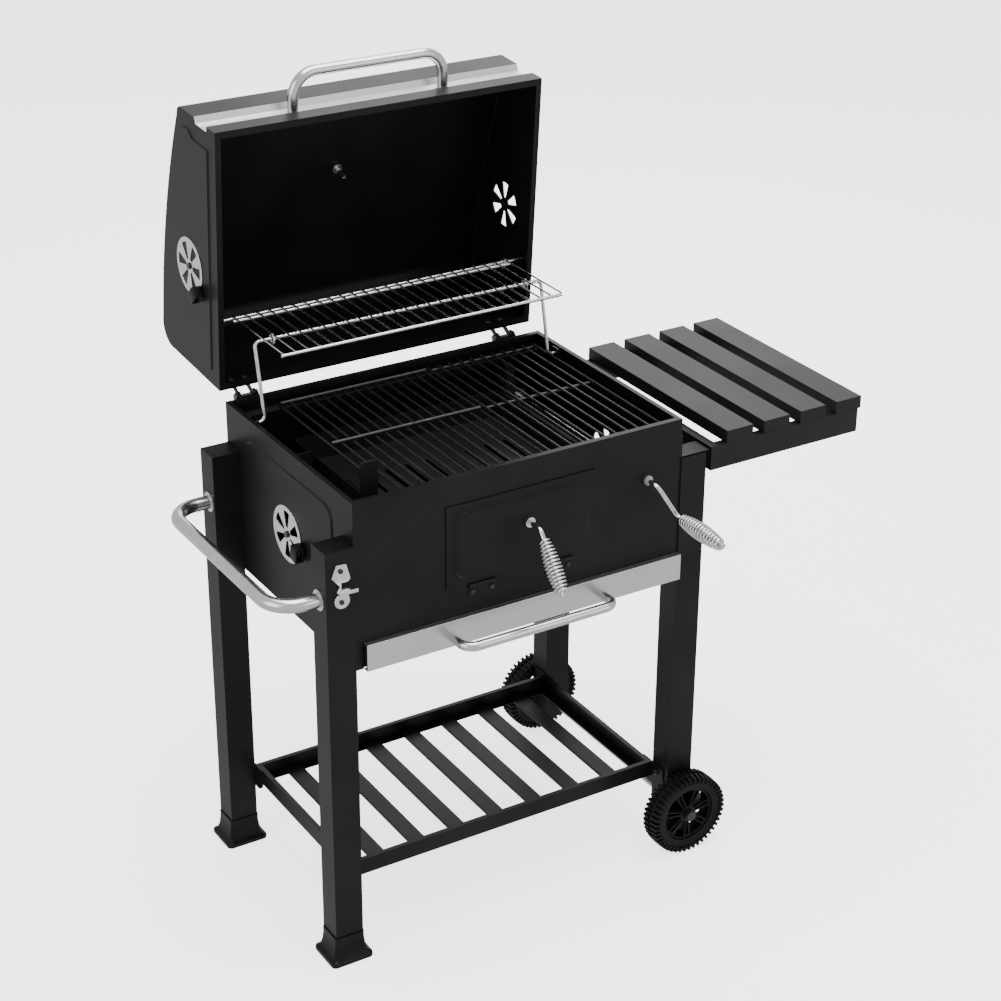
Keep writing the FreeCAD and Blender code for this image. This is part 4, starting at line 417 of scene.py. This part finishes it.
class Bench:
    """Edit-mode steps on one new mesh at a time."""

    @staticmethod
    def clear() -> None:
        """Leaves edit mode with nothing selected."""
        if bpy.context.object is not None and bpy.context.object.mode != "OBJECT":
            bpy.ops.object.mode_set(mode="OBJECT")
        bpy.ops.object.select_all(action="DESELECT")

    @staticmethod
    def added(name: str) -> bpy.types.Object:
        """Names the primitive that was just added and applies its place.

        Args:
            name: Name of the piece and its mesh.

        Returns:
            The piece.
        """
        piece = bpy.context.object
        piece.name = piece.data.name = name
        bpy.ops.object.transform_apply(location=True, rotation=True, scale=True)
        return piece

    @classmethod
    def tube(cls, name: str, sides: int, radius: float, depth: float,
             middle: tuple[float, float, float] = (0, 0, 0),
             capped: bool = False) -> bpy.types.Object:
        """Adds an upright cylinder, open at both ends unless capped.

        Args:
            name: Name of the piece.
            sides: Faces round the wall.
            radius: Outer radius.
            depth: Height.
            middle: Place of its middle.
            capped: Whether the ends are closed.

        Returns:
            The cylinder.
        """
        cls.clear()
        bpy.ops.mesh.primitive_cylinder_add(vertices=sides, radius=radius, depth=depth,
                                            location=middle,
                                            end_fill_type="NGON" if capped else "NOTHING")
        return cls.added(name)

    @classmethod
    def brick(cls, name: str, low: tuple[float, float, float],
              high: tuple[float, float, float]) -> bpy.types.Object:
        """Adds a box between two corners.

        Args:
            name: Name of the piece.
            low: Lowest corner.
            high: Highest corner.

        Returns:
            The box.
        """
        cls.clear()
        middle = [(a + b) / 2 for a, b in zip(low, high)]
        size = [b - a for a, b in zip(low, high)]
        bpy.ops.mesh.primitive_cube_add(size=1, location=middle, scale=size)
        return cls.added(name)

    @staticmethod
    def edit(piece: bpy.types.Object, kind: str = "FACE") -> None:
        """Opens a piece in edit mode.

        Args:
            piece: The piece to edit.
            kind: Kind of element that is picked: VERT, EDGE or FACE.
        """
        bpy.context.view_layer.objects.active = piece
        bpy.ops.object.mode_set(mode="EDIT")
        bpy.ops.mesh.select_mode(type=kind)

    @staticmethod
    def pick(piece: bpy.types.Object, kind: str, test: Callable[[object], bool]) -> None:
        """Selects only what passes a test.

        Args:
            piece: The mesh in edit mode.
            kind: verts, edges or faces.
            test: Says whether an element is picked.
        """
        mesh = bmesh.from_edit_mesh(piece.data)
        for group in (mesh.faces, mesh.edges, mesh.verts):
            for element in group:
                element.select = False
        for element in [e for e in getattr(mesh, kind) if test(e)]:
            element.select_set(True)
        bmesh.update_edit_mesh(piece.data)

    @classmethod
    def modify(cls, piece: bpy.types.Object, kind: str, **settings: object) -> None:
        """Adds a modifier and applies it.

        Args:
            piece: The piece to modify.
            kind: The modifier's type.
            **settings: Its properties.
        """
        cls.clear()
        piece.select_set(True)
        bpy.context.view_layer.objects.active = piece
        modifier = piece.modifiers.new(kind.lower(), kind)
        for name, value in settings.items():
            setattr(modifier, name, value)
        bpy.ops.object.modifier_apply(modifier=modifier.name)

    @classmethod
    def smooth(cls, piece: bpy.types.Object, degrees: float = 35.0) -> None:
        """Smooths shading across gentle angles.

        Args:
            piece: The piece to smooth.
            degrees: Edges that turn by more than this stay sharp.
        """
        cls.clear()
        piece.select_set(True)
        bpy.context.view_layer.objects.active = piece
        bpy.ops.object.shade_smooth_by_angle(angle=math.radians(degrees))

    @classmethod
    def close(cls, piece: bpy.types.Object) -> None:
        """Merges doubles and points every face outwards.

        Args:
            piece: The closed mesh.
        """
        cls.clear()
        cls.edit(piece)
        bpy.ops.mesh.select_all(action="SELECT")
        bpy.ops.mesh.remove_doubles(threshold=1e-6)
        bpy.ops.mesh.normals_make_consistent(inside=False)
        bpy.ops.object.mode_set(mode="OBJECT")

    @classmethod
    def join(cls, name: str, pieces: list[bpy.types.Object]) -> bpy.types.Object:
        """Joins pieces into the first one.

        Args:
            name: Name of the result.
            pieces: The pieces to join.

        Returns:
            The joined piece.
        """
        cls.clear()
        for piece in pieces:
            piece.select_set(True)
        bpy.context.view_layer.objects.active = pieces[0]
        if len(pieces) > 1:
            bpy.ops.object.join()
        joined = bpy.context.object
        joined.name = joined.data.name = name
        return joined

    @classmethod
    def place(cls, piece: bpy.types.Object, turn: Matrix, spot: Vector) -> None:
        """Turns and moves a piece, and applies that to its mesh.

        Args:
            piece: A piece at the origin.
            turn: Rotation about the origin.
            spot: Where the origin goes.
        """
        piece.matrix_world = Matrix.Translation(spot) @ turn.to_4x4()
        cls.clear()
        piece.select_set(True)
        bpy.context.view_layer.objects.active = piece
        bpy.ops.object.transform_apply(location=True, rotation=True, scale=True)

    @classmethod
    def copies(cls, piece: bpy.types.Object, count: int) -> list[bpy.types.Object]:
        """Copies a piece evenly about the Z axis, each copy with its own mesh.

        Args:
            piece: The first of them.
            count: How many there are in all.

        Returns:
            All of them, the first one included.
        """
        made = [piece]
        for k in range(1, count):
            copy = piece.copy()
            copy.data = piece.data.copy()
            bpy.context.scene.collection.objects.link(copy)
            turn = Matrix.Rotation(2 * math.pi * k / count, 3, "Z")
            cls.place(copy, turn, Vector((0, 0, 0)))
            made.append(copy)
        return made


def turn_to(direction: Vector) -> Matrix:
    """Rotation that turns +Z to a direction."""
    return Vector((0, 0, 1)).rotation_difference(direction).to_matrix()


def centre_of(node: str) -> Vector:
    """Middle of a CAD node's box."""
    low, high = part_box(node)
    return (low + high) / 2


def points_of(node: str) -> np.ndarray:
    """All vertices of a CAD node."""
    return np.array([v.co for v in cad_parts[node].data.vertices], float)


def put(piece: bpy.types.Object, body: str, slot: str, *replaced: str) -> None:
    """Rides a finished piece on its body, hides the CAD nodes that it replaces and logs it.

    Args:
        piece: The finished piece.
        body: The body that carries it.
        slot: The record's material slot, not used.
        *replaced: CAD nodes that it replaces.
    """
    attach(piece, body)
    if replaced:
        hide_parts(*replaced)
    LOG.info("%s: %d faces on %s", piece.name, len(piece.data.polygons), body)


# Recast CAD nodes -------------------------------------------------------------------------

@dataclass
class Recast:
    """Copy of a CAD node with softened edges."""

    paint: Paintbox
    node: str
    body: str
    width: float = 0.0006

    def copy(self) -> bpy.types.Object:
        """Copies the node's mesh and merges its loose triangles.

        Returns:
            The copy.
        """
        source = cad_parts[self.node]
        Bench.clear()
        piece = bpy.data.objects.new(self.node + "_work", source.data.copy())
        bpy.context.scene.collection.objects.link(piece)
        piece.select_set(True)
        Bench.edit(piece)
        bpy.ops.mesh.select_all(action="SELECT")
        bpy.ops.mesh.remove_doubles(threshold=2e-6)
        bpy.ops.mesh.dissolve_limited(angle_limit=math.radians(0.4))
        bpy.ops.object.mode_set(mode="OBJECT")
        return piece

    def parts(self) -> list[bpy.types.Object]:
        """Splits a copy of the node into its loose parts.

        Returns:
            One object per part.
        """
        piece = self.copy()
        Bench.edit(piece)
        bpy.ops.mesh.select_all(action="SELECT")
        bpy.ops.mesh.separate(type="LOOSE")
        bpy.ops.object.mode_set(mode="OBJECT")
        found = [o for o in bpy.context.selected_objects if o.type == "MESH"]
        return found if found else [piece]

    def soften(self, piece: bpy.types.Object, smooth: float = 35.0) -> None:
        """Rounds a piece's sharp edges a little.

        Args:
            piece: The piece to round.
            smooth: Edges that turn by more degrees than this stay sharp.
        """
        Bench.modify(piece, "BEVEL", width=self.width, segments=2, limit_method="ANGLE",
                     angle_limit=math.radians(50), use_clamp_overlap=True)
        Bench.smooth(piece, smooth)
        Bench.modify(piece, "WEIGHTED_NORMAL", keep_sharp=True, weight=100)

    def whole(self, finish: Finish, slot: str) -> None:
        """Replaces the node with one softened piece.

        Args:
            finish: Its finish.
            slot: The record's material slot.
        """
        piece = self.copy()
        self.soften(piece)
        piece.name = piece.data.name = self.node + "_dressed"
        self.paint.dress(piece, finish)
        put(piece, self.body, slot, self.node)


# Wheels -----------------------------------------------------------------------------------

class End(Enum):
    """End of the axle that a wheel runs on."""

    FRONT = "front"
    BACK = "back"


@dataclass
class RoadWheel:
    """Moulded wheel: a tread ring with staggered lugs round a spoked hub."""

    paint: Paintbox
    end: End
    lugs: int = 46
    carcass_radius: float = 0.0700
    shoulder_radius: float = 0.0625
    bead_radius: float = 0.0500
    half_width: float = 0.0160
    groove: float = 0.0030
    wall: float = 0.0020
    lug_height: float = 0.0046
    hub_depth: float = 0.0125
    rim_wall: float = 0.0040
    spokes: int = 7
    spoke_width: float = 0.0130
    spoke_taper: float = 0.62
    spoke_sink: float = 0.0085
    rib: float = 0.0028
    boss_radius: float = 0.0155
    cap_radius: float = 0.0105
    cap_height: float = 0.0035
    cap_lip: float = 0.0025
    cap_dish: float = 0.0012
    hub_turn: float = 13.0

    def outward(self) -> Matrix:
        """Turn that points local +Z away from the cart."""
        return Matrix.Rotation(math.radians(90 if self.end is End.FRONT else -90), 3, "X")

    def tread(self) -> bpy.types.Object:
        """Models the tread ring, with lugs that wrap over both shoulders.

        Returns:
            The ring.
        """
        sides = self.lugs * 2
        piece = Bench.tube("wheel_tread_" + self.end.value, sides, self.carcass_radius,
                           2 * self.half_width)
        Bench.edit(piece)
        for level in (-self.groove, self.groove):
            bpy.ops.mesh.select_all(action="SELECT")
            bpy.ops.mesh.bisect(plane_co=(0, 0, level), plane_no=(0, 0, 1))
        for radius, push in ((self.shoulder_radius, 0.0008), (self.bead_radius, -0.0022)):
            for side in (-1, 1):
                self._draw_wall(piece, side, radius, push)
        self._raise_lugs(piece, sides)
        bpy.ops.object.mode_set(mode="OBJECT")
        Bench.modify(piece, "SOLIDIFY", thickness=self.wall, offset=-1.0, use_rim=True)
        Bench.close(piece)
        Bench.modify(piece, "BEVEL", width=0.0006, segments=1, limit_method="ANGLE",
                     angle_limit=math.radians(40))
        Bench.smooth(piece, 30)
        return piece

    def _draw_wall(self, piece: bpy.types.Object, side: int, radius: float,
                   push: float) -> None:
        """Draws one open edge of the ring inwards to a radius.

        Args:
            piece: The ring, in edit mode.
            side: 1 for the upper edge, -1 for the lower one.
            radius: Where the edge ends.
            push: How far out along the axis it goes on the way.
        """
        bpy.ops.mesh.select_mode(type="EDGE")
        Bench.pick(piece, "edges", lambda e: e.is_boundary
                   and e.verts[0].co.z * side > 0 and e.verts[1].co.z * side > 0)
        mesh = bmesh.from_edit_mesh(piece.data)
        edge = next(e for e in mesh.edges if e.select)
        now = math.hypot(edge.verts[0].co.x, edge.verts[0].co.y)
        height = edge.verts[0].co.z
        bpy.ops.mesh.extrude_edges_move(TRANSFORM_OT_translate={"value": (0, 0, side * push)})
        share = radius / now
        bpy.ops.transform.resize(value=(share, share, 1), center_override=(0, 0, height))

    def _raise_lugs(self, piece: bpy.types.Object, sides: int) -> None:
        """Raises every second face of each shoulder, the two sides out of step.

        Args:
            piece: The ring, in edit mode.
            sides: Faces round the ring.
        """
        bpy.ops.mesh.select_mode(type="FACE")
        step = 2 * math.pi / sides

        def is_lug(face: bmesh.types.BMFace) -> bool:
            """Says whether a face is the foot of a lug.

            Args:
                face: A face of the ring.

            Returns:
                True on every second face of a shoulder.
            """
            spot = face.calc_center_median()
            radius = math.hypot(spot.x, spot.y)
            count = math.floor(math.atan2(spot.y, spot.x) / step + 1e-4)
            outer = radius > (self.shoulder_radius + self.bead_radius) / 2 + 0.002
            return outer and abs(spot.z) > self.groove and (count + (spot.z > 0)) % 2 == 0

        Bench.pick(piece, "faces", is_lug)
        bpy.ops.mesh.extrude_region_shrink_fatten(
            TRANSFORM_OT_shrink_fatten={"value": self.lug_height})

    def rim(self) -> bpy.types.Object:
        """Models the ring that the tread sits on.

        Returns:
            The ring.
        """
        rim = Bench.tube("rim", 84, self.bead_radius, 2 * self.hub_depth)
        Bench.modify(rim, "SOLIDIFY", thickness=self.rim_wall, offset=-1.0)
        Bench.modify(rim, "BEVEL", width=0.0012, segments=2, limit_method="ANGLE",
                     angle_limit=math.radians(50))
        return rim

    def spoke(self) -> bpy.types.Object:
        """Models a tapered spoke whose face is sunk between two ribs.

        Returns:
            The spoke, along +X.
        """
        inner, outer = self.boss_radius - 0.002, self.bead_radius - self.rim_wall + 0.0005
        half = self.spoke_width / 2
        top = self.hub_depth - 0.0010
        piece = Bench.brick("spoke", (inner, -half, -top), (outer, half, top))
        Bench.edit(piece)
        bpy.ops.mesh.select_mode(type="VERT")
        Bench.pick(piece, "verts", lambda v: v.co.x < inner + 1e-4)
        bpy.ops.transform.resize(value=(1, self.spoke_taper, 1), center_override=(inner, 0, 0))
        bpy.ops.mesh.select_mode(type="FACE")
        for side in (-1, 1):
            Bench.pick(piece, "faces", lambda f: f.normal.z * side > 0.9)
            bpy.ops.mesh.inset(thickness=self.rib, depth=0)
            bpy.ops.mesh.extrude_region_move(
                TRANSFORM_OT_translate={"value": (0, 0, -side * self.spoke_sink)})
        bpy.ops.object.mode_set(mode="OBJECT")
        Bench.modify(piece, "BEVEL", width=0.0005, segments=2, limit_method="ANGLE",
                     angle_limit=math.radians(40))
        return piece

    def boss(self) -> bpy.types.Object:
        """Models the centre boss with its stepped cap.

        Returns:
            The boss.
        """
        piece = Bench.tube("boss", 48, self.boss_radius, 2 * self.hub_depth - 0.001,
                           capped=True)
        Bench.edit(piece)
        Bench.pick(piece, "faces", lambda f: f.normal.z > 0.9)
        bpy.ops.mesh.inset(thickness=self.boss_radius - self.cap_radius)
        bpy.ops.mesh.extrude_region_move(
            TRANSFORM_OT_translate={"value": (0, 0, self.cap_height)})
        bpy.ops.mesh.inset(thickness=self.cap_lip)
        bpy.ops.mesh.extrude_region_move(
            TRANSFORM_OT_translate={"value": (0, 0, -self.cap_dish)})
        bpy.ops.object.mode_set(mode="OBJECT")
        Bench.modify(piece, "BEVEL", width=0.0006, segments=2, limit_method="ANGLE",
                     angle_limit=math.radians(40))
        return piece

    def build(self) -> None:
        """Builds and dresses both pieces of the wheel."""
        node = "wheel_tyre_" + self.end.value
        middle = centre_of(node)
        body = "wheel_" + self.end.value
        tread = self.tread()
        Bench.place(tread, self.outward(), middle)
        self.paint.dress(tread, Finish.TREAD)
        put(tread, body, "tread_plastic", node)
        hub = Bench.join("wheel_hub_moulding_" + self.end.value,
                         [self.rim(), self.boss()] + Bench.copies(self.spoke(), self.spokes))
        Bench.smooth(hub, 35)
        tilt = self.outward() @ Matrix.Rotation(math.radians(self.hub_turn), 3, "Z")
        Bench.place(hub, tilt, middle)
        self.paint.dress(hub, Finish.PLASTIC)
        put(hub, body, "black_plastic", "wheel_hub_" + self.end.value)


# Coiled grips -----------------------------------------------------------------------------

@dataclass
class CoilGrip:
    """Barrel-shaped grip wound from one wire."""

    paint: Paintbox
    node: str
    body: str
    turns: int = 15
    steps: int = 28
    wire: float = 0.00185
    wire_sides: int = 10
    end_radius: float = 0.0072
    middle_radius: float = 0.0128

    def axis(self) -> tuple[Vector, Vector, float]:
        """Reads the barrel's axis from the node.

        Returns:
            Start, direction and length of the barrel.
        """
        points = points_of(self.node)
        middle = points.mean(0)
        spread = np.linalg.svd(points - middle, full_matrices=False)[2][0]
        spread = spread if spread[2] + spread[1] < 0 else -spread
        along = (points - middle) @ spread
        start = Vector(middle + spread * along.min())
        return start, Vector(spread), float(along.max() - along.min())

    def build(self) -> None:
        """Winds the wire and shapes it into a barrel."""
        start, direction, length = self.axis()
        Bench.clear()
        bpy.ops.mesh.primitive_circle_add(vertices=self.wire_sides, radius=self.wire,
                                          location=(self.end_radius, 0, self.wire),
                                          rotation=(math.pi / 2, 0, 0))
        piece = Bench.added(self.node + "_coil")
        pitch = (length - 2 * self.wire) / self.turns
        Bench.modify(piece, "SCREW", axis="Z", angle=2 * math.pi, screw_offset=pitch,
                     iterations=self.turns, steps=self.steps, render_steps=self.steps)
        for vertex in piece.data.vertices:
            share = min(1.0, max(0.0, vertex.co.z / length))
            swell = (self.middle_radius - self.end_radius) * (1 - (2 * share - 1) ** 2)
            radius = math.hypot(vertex.co.x, vertex.co.y)
            stretch = (radius + swell) / radius
            vertex.co.x *= stretch
            vertex.co.y *= stretch
        Bench.edit(piece)
        bpy.ops.mesh.select_all(action="SELECT")
        bpy.ops.mesh.fill_holes(sides=self.wire_sides + 2)
        bpy.ops.object.mode_set(mode="OBJECT")
        Bench.close(piece)
        Bench.smooth(piece, 60)
        Bench.place(piece, turn_to(direction), start)
        self.paint.dress(piece, Finish.BRIGHT)
        put(piece, self.body, "bright_wire", self.node)


# Vents ------------------------------------------------------------------------------------

@dataclass
class VentDamper:
    """Turning vent disc and its knob."""

    paint: Paintbox
    node: str
    body: str
    disc_edge: float = 0.0003
    knob_edge: float = 0.0016

    def build(self) -> None:
        """Splits the node into its bright disc and its black knob."""
        recast = Recast(self.paint, self.node, self.body, self.disc_edge)
        parts = recast.parts()
        parts.sort(key=lambda o: -max(o.dimensions.y, o.dimensions.z))
        disc, knob = parts[0], parts[1]
        disc.name = disc.data.name = self.node + "_disc"
        recast.soften(disc)
        self.paint.dress(disc, Finish.BRIGHT)
        put(disc, self.body, "bright_wire", self.node)
        knob.name = knob.data.name = self.node + "_knob"
        Bench.modify(knob, "BEVEL", width=self.knob_edge, segments=3, limit_method="ANGLE",
                     angle_limit=math.radians(50))
        Bench.smooth(knob, 35)
        self.paint.dress(knob, Finish.PLASTIC)
        put(knob, self.body, "black_plastic")


# Thermometer ------------------------------------------------------------------------------

@dataclass
class LidGauge:
    """Dial, marks, needle and glass in the thermometer's dished case."""

    paint: Paintbox
    radius: float = 0.0345
    dial_depth: float = 0.0014
    dial_sheet: float = 0.0006
    dial_edge: float = 0.0015
    marks: int = 25
    long_mark: tuple[float, float] = (0.0062, 0.0006)
    short_mark: tuple[float, float] = (0.0035, 0.0003)
    mark_gap: float = 0.003
    sweep: float = 270.0
    first_mark: float = 225.0
    needle_reach: float = 0.024
    needle_tail: float = 0.006
    needle_half: float = 0.0011
    needle_angle: float = 218.0
    glass_sheet: float = 0.0008
    lid_tilt: float = 86.0
    surface_slope: float = 0.2296

    def direction(self) -> Vector:
        """Way the dial faces with the lid open."""
        closed = Vector((0, -self.surface_slope, 1)).normalized()
        return Matrix.Rotation(math.radians(-self.lid_tilt), 3, "X") @ closed

    def face(self) -> Vector:
        """Finds the centre of the case's outer rim.

        Returns:
            The centre.
        """
        points = points_of("thermometer")
        way = np.array(self.direction())
        along = points @ way
        rim = points[along > along.max() - 0.001]
        return Vector((rim.max(0) + rim.min(0)) / 2)

    def dial(self) -> bpy.types.Object:
        """Models a thin dial with a raised edge.

        Returns:
            The dial.
        """
        piece = Bench.tube("gauge_dial", 72, self.radius, self.dial_sheet,
                           (0, 0, -self.dial_depth), True)
        Bench.edit(piece)
        Bench.pick(piece, "faces", lambda f: f.normal.z > 0.9)
        bpy.ops.mesh.inset(thickness=self.dial_edge, depth=-0.0002)
        bpy.ops.object.mode_set(mode="OBJECT")
        return piece

    def scale(self) -> bpy.types.Object:
        """Models the marks round the dial, every sixth a long one.

        Returns:
            All the marks in one piece.
        """
        marks = []
        outer = self.radius - self.mark_gap
        for k in range(self.marks):
            reach, half = self.long_mark if k % 6 == 0 else self.short_mark
            mark = Bench.brick("mark", (outer - reach, -half, -0.0011), (outer, half, -0.00095))
            Bench.edit(mark)
            Bench.pick(mark, "faces", lambda f: f.normal.z > 0.9)
            bpy.ops.mesh.inset(thickness=0.0001)
            bpy.ops.object.mode_set(mode="OBJECT")
            angle = math.radians(self.first_mark - self.sweep * k / (self.marks - 1))
            Bench.place(mark, Matrix.Rotation(angle, 3, "Z"), Vector((0, 0, 0)))
            marks.append(mark)
        return Bench.join("gauge_marks", marks)

    def needle(self) -> bpy.types.Object:
        """Models a tapered needle on a small boss.

        Returns:
            The needle.
        """
        arm = Bench.brick("arm", (-self.needle_tail, -self.needle_half, -0.0007),
                          (self.needle_reach, self.needle_half, -0.0003))
        Bench.edit(arm, "VERT")
        Bench.pick(arm, "verts", lambda v: v.co.x > 0)
        bpy.ops.transform.resize(value=(1, 0.2, 1),
                                 center_override=(self.needle_reach, 0, -0.0005))
        bpy.ops.object.mode_set(mode="OBJECT")
        boss = Bench.tube("needle_boss", 24, 0.0032, 0.0012, (0, 0, -0.0005), True)
        Bench.modify(boss, "BEVEL", width=0.0003, segments=2, limit_method="ANGLE")
        piece = Bench.join("gauge_needle", [arm, boss])
        turn = Matrix.Rotation(math.radians(self.needle_angle), 3, "Z")
        Bench.place(piece, turn, Vector((0, 0, 0)))
        return piece

    def glass(self) -> bpy.types.Object:
        """Models a slightly domed window.

        Returns:
            The window.
        """
        piece = Bench.tube("gauge_glass", 72, self.radius, self.glass_sheet, capped=True)
        Bench.edit(piece)
        Bench.pick(piece, "faces", lambda f: f.normal.z > 0.9)
        bpy.ops.mesh.inset(thickness=0.010, depth=0.0005)
        bpy.ops.mesh.inset(thickness=0.012, depth=0.0003)
        bpy.ops.object.mode_set(mode="OBJECT")
        Bench.smooth(piece, 40)
        return piece

    def build(self) -> None:
        """Puts the four pieces in the case."""
        for piece, finish, slot in ((self.dial(), Finish.DIAL, "black_plastic"),
                                    (self.scale(), Finish.PLASTIC, "black_plastic"),
                                    (self.needle(), Finish.NEEDLE, "black_plastic"),
                                    (self.glass(), Finish.GLASS, "stainless")):
            Bench.place(piece, turn_to(self.direction()), self.face())
            self.paint.dress(piece, finish)
            put(piece, "lid", slot)


# Frame nodes ------------------------------------------------------------------------------

@dataclass
class FrameDress:
    """Finishes for the CAD nodes that stay visible."""

    paint: Paintbox

    def finishes(self) -> dict[Finish, tuple[str, ...]]:
        """Lists the nodes that keep their own mesh.

        Returns:
            Their names by finish.
        """
        return {
            Finish.BODY: ("firebox_front_panel", "firebox_back_panel", "firebox_left_panel",
                          "firebox_right_panel", "lid_shell", "lid_left_side",
                          "lid_right_side", "lid_hinge_arms", "lid_hinge_brackets",
                          "door_hinges"),
            Finish.FRAME: ("leg_left_front", "leg_left_back", "leg_right_front",
                           "leg_right_back", "shelf_frame", "shelf_brackets",
                           "table_arms", "drawer_runners"),
            Finish.INSIDE: ("grate_ledges", "charcoal_pan", "pan_lift_frame", "pan_guides",
                            "drawer_tray"),
            Finish.STEEL_ALONG: ("lid_trim_strip",),
            Finish.STEEL_TUBE: ("lid_handle", "drawer_handle", "push_handle",
                                "thermometer"),
            Finish.WIRE: ("warming_rack", "rack_leg_frame"),
            Finish.BRIGHT: ("crank_rod", "door_handle"),
            Finish.GRATE: ("cooking_grate_left", "cooking_grate_right"),
            Finish.ZINC: ("axle", "crank_pinions", "crank_bushings"),
            Finish.BLACK_BOLT: ("cart_fasteners", "lid_fasteners", "lid_hinge_pins"),
        }

    def softened(self) -> tuple[tuple[str, str, float, Finish, str], ...]:
        """Lists the nodes shown by a copy with rounded edges.

        Returns:
            Node, body, radius, finish and slot of each.
        """
        return (("table_slats", "cart", 0.0007, Finish.TABLE, "charcoal_paint"),
                ("table_long_rails", "cart", 0.0005, Finish.TABLE, "charcoal_paint"),
                ("table_side_rails", "cart", 0.0005, Finish.TABLE, "charcoal_paint"),
                ("shelf_slats", "cart", 0.0006, Finish.FRAME, "charcoal_paint"),
                ("door_panel", "fuel_door", 0.0005, Finish.BODY, "charcoal_paint"),
                ("foot_front", "cart", 0.0012, Finish.PLASTIC, "black_plastic"),
                ("foot_back", "cart", 0.0012, Finish.PLASTIC, "black_plastic"),
                ("drawer_front", "ash_drawer", 0.0004, Finish.STEEL_ALONG, "stainless"),
                ("bottle_opener", "cart", 0.0005, Finish.BRIGHT, "bright_wire"))

    def build(self) -> None:
        """Dresses every node."""
        for finish, nodes in self.finishes().items():
            for node in nodes:
                self.paint.dress(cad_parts[node], finish)
                LOG.info("%s: %s", node, finish.value.name)
        for node, body, radius, finish, slot in self.softened():
            Recast(self.paint, node, body, radius).whole(finish, slot)


# Studio -----------------------------------------------------------------------------------

@dataclass(frozen=True)
class Softbox:
    """Square soft light aimed at the barbecue's middle.

    Attributes:
        name: The light's name.
        spot: Where it stands.
        size: Length of its side.
        power: Its power, in watts.
    """

    name: str
    spot: tuple[float, float, float]
    size: float
    power: float

    def build(self, target: Vector) -> None:
        """Sets up the light, itself out of sight.

        Args:
            target: The point that it faces.
        """
        data = bpy.data.lights.new(self.name, "AREA")
        data.shape = "SQUARE"
        data.size = self.size
        data.energy = self.power
        lamp = bpy.data.objects.new(self.name, data)
        bpy.context.scene.collection.objects.link(lamp)
        away = (Vector(self.spot) - target).normalized()
        lamp.matrix_world = Matrix.Translation(self.spot) @ turn_to(away).to_4x4()
        lamp.visible_camera = False


@dataclass
class Studio:
    """Pale floor, soft light and the camera."""

    eye: tuple[float, float, float] = (-1.41573, -2.71755, 2.34799)
    azimuth: float = -31.632
    elevation: float = 26.426
    roll: float = 0.399
    lens: float = 83.06
    sensor: float = 36.0
    floor_side: float = 30.0
    floor_glow: float = 2.2
    sky_glow: float = 1.0
    target: tuple[float, float, float] = (0.0, 0.0, 0.7)
    lights: tuple[Softbox, ...] = (Softbox("left_softbox", (-3.2, -0.6, 1.9), 2.2, 40),
                                   Softbox("top_softbox", (0.2, -0.2, 3.6), 2.6, 150),
                                   Softbox("back_softbox", (2.0, 2.6, 2.4), 2.2, 42),
                                   Softbox("front_fill", (1.6, -3.4, 1.6), 2.0, 20))

    def corner(self) -> Vector:
        """Firebox's left front lower corner on the floor."""
        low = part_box("firebox_front_panel")[0]
        return Vector((low.x, low.y, 0.0))

    def camera(self) -> None:
        """Puts the camera at the viewing angle."""
        around, up = math.radians(self.azimuth), math.radians(self.elevation)
        forward = Vector((-math.sin(around) * math.cos(up), math.cos(around) * math.cos(up),
                          -math.sin(up)))
        right = Vector((math.cos(around), math.sin(around), 0))
        above = right.cross(forward)
        tip = math.radians(self.roll)
        right, above = (right * math.cos(tip) + above * math.sin(tip),
                        above * math.cos(tip) - right * math.sin(tip))
        turn = Matrix((right, above, -forward)).transposed()
        data = bpy.data.cameras.new("view")
        data.lens = self.lens
        data.sensor_width = self.sensor
        data.clip_end = 50.0
        camera = bpy.data.objects.new("view", data)
        bpy.context.scene.collection.objects.link(camera)
        camera.matrix_world = Matrix.Translation(self.corner() + Vector(self.eye)) \
            @ turn.to_4x4()
        bpy.context.scene.camera = camera

    def floor(self) -> None:
        """Lays a wide pale floor that the metal doesn't mirror."""
        Bench.clear()
        bpy.ops.mesh.primitive_plane_add(size=self.floor_side, location=(0, 0, 0))
        floor = bpy.context.object
        floor.name = "floor"
        floor.visible_glossy = False
        shader = Shader("floor_pale")
        tone = shader.noise(shader.place(), 0.8, 2.0)
        colour = shader.blend(tone, (0.86, 0.86, 0.86), (0.90, 0.90, 0.90))
        floor.data.materials.append(shader.finish(
            {"Base Color": colour, "Roughness": 0.7, "Specular IOR Level": 0.1,
             "Emission Color": (1, 1, 1, 1), "Emission Strength": self.floor_glow}))

    def build(self) -> None:
        """Builds the studio."""
        world = bpy.data.worlds.new("studio")
        world.use_nodes = True
        background = world.node_tree.nodes["Background"]
        background.inputs["Color"].default_value = (1, 1, 1, 1)
        background.inputs["Strength"].default_value = self.sky_glow
        bpy.context.scene.world = world
        self.floor()
        self.camera()
        for light in self.lights:
            light.build(Vector(self.target))


def main() -> None:
    """Builds every sub-assembly in order."""
    logging.basicConfig(level=logging.INFO, format="%(message)s")
    paint = Paintbox()
    Studio().build()
    FrameDress(paint).build()
    for end in End:
        RoadWheel(paint, end).build()
    CoilGrip(paint, "door_grip", "fuel_door").build()
    CoilGrip(paint, "crank_grip", "crank").build()
    for node, body in (("firebox_vent_left", "vent_box_left"),
                       ("firebox_vent_right", "vent_box_right"),
                       ("lid_vent_left", "vent_lid_left"),
                       ("lid_vent_right", "vent_lid_right")):
        VentDamper(paint, node, body).build()
    LidGauge(paint).build()
    Bench.clear()


if __name__ == "__main__":
    main()
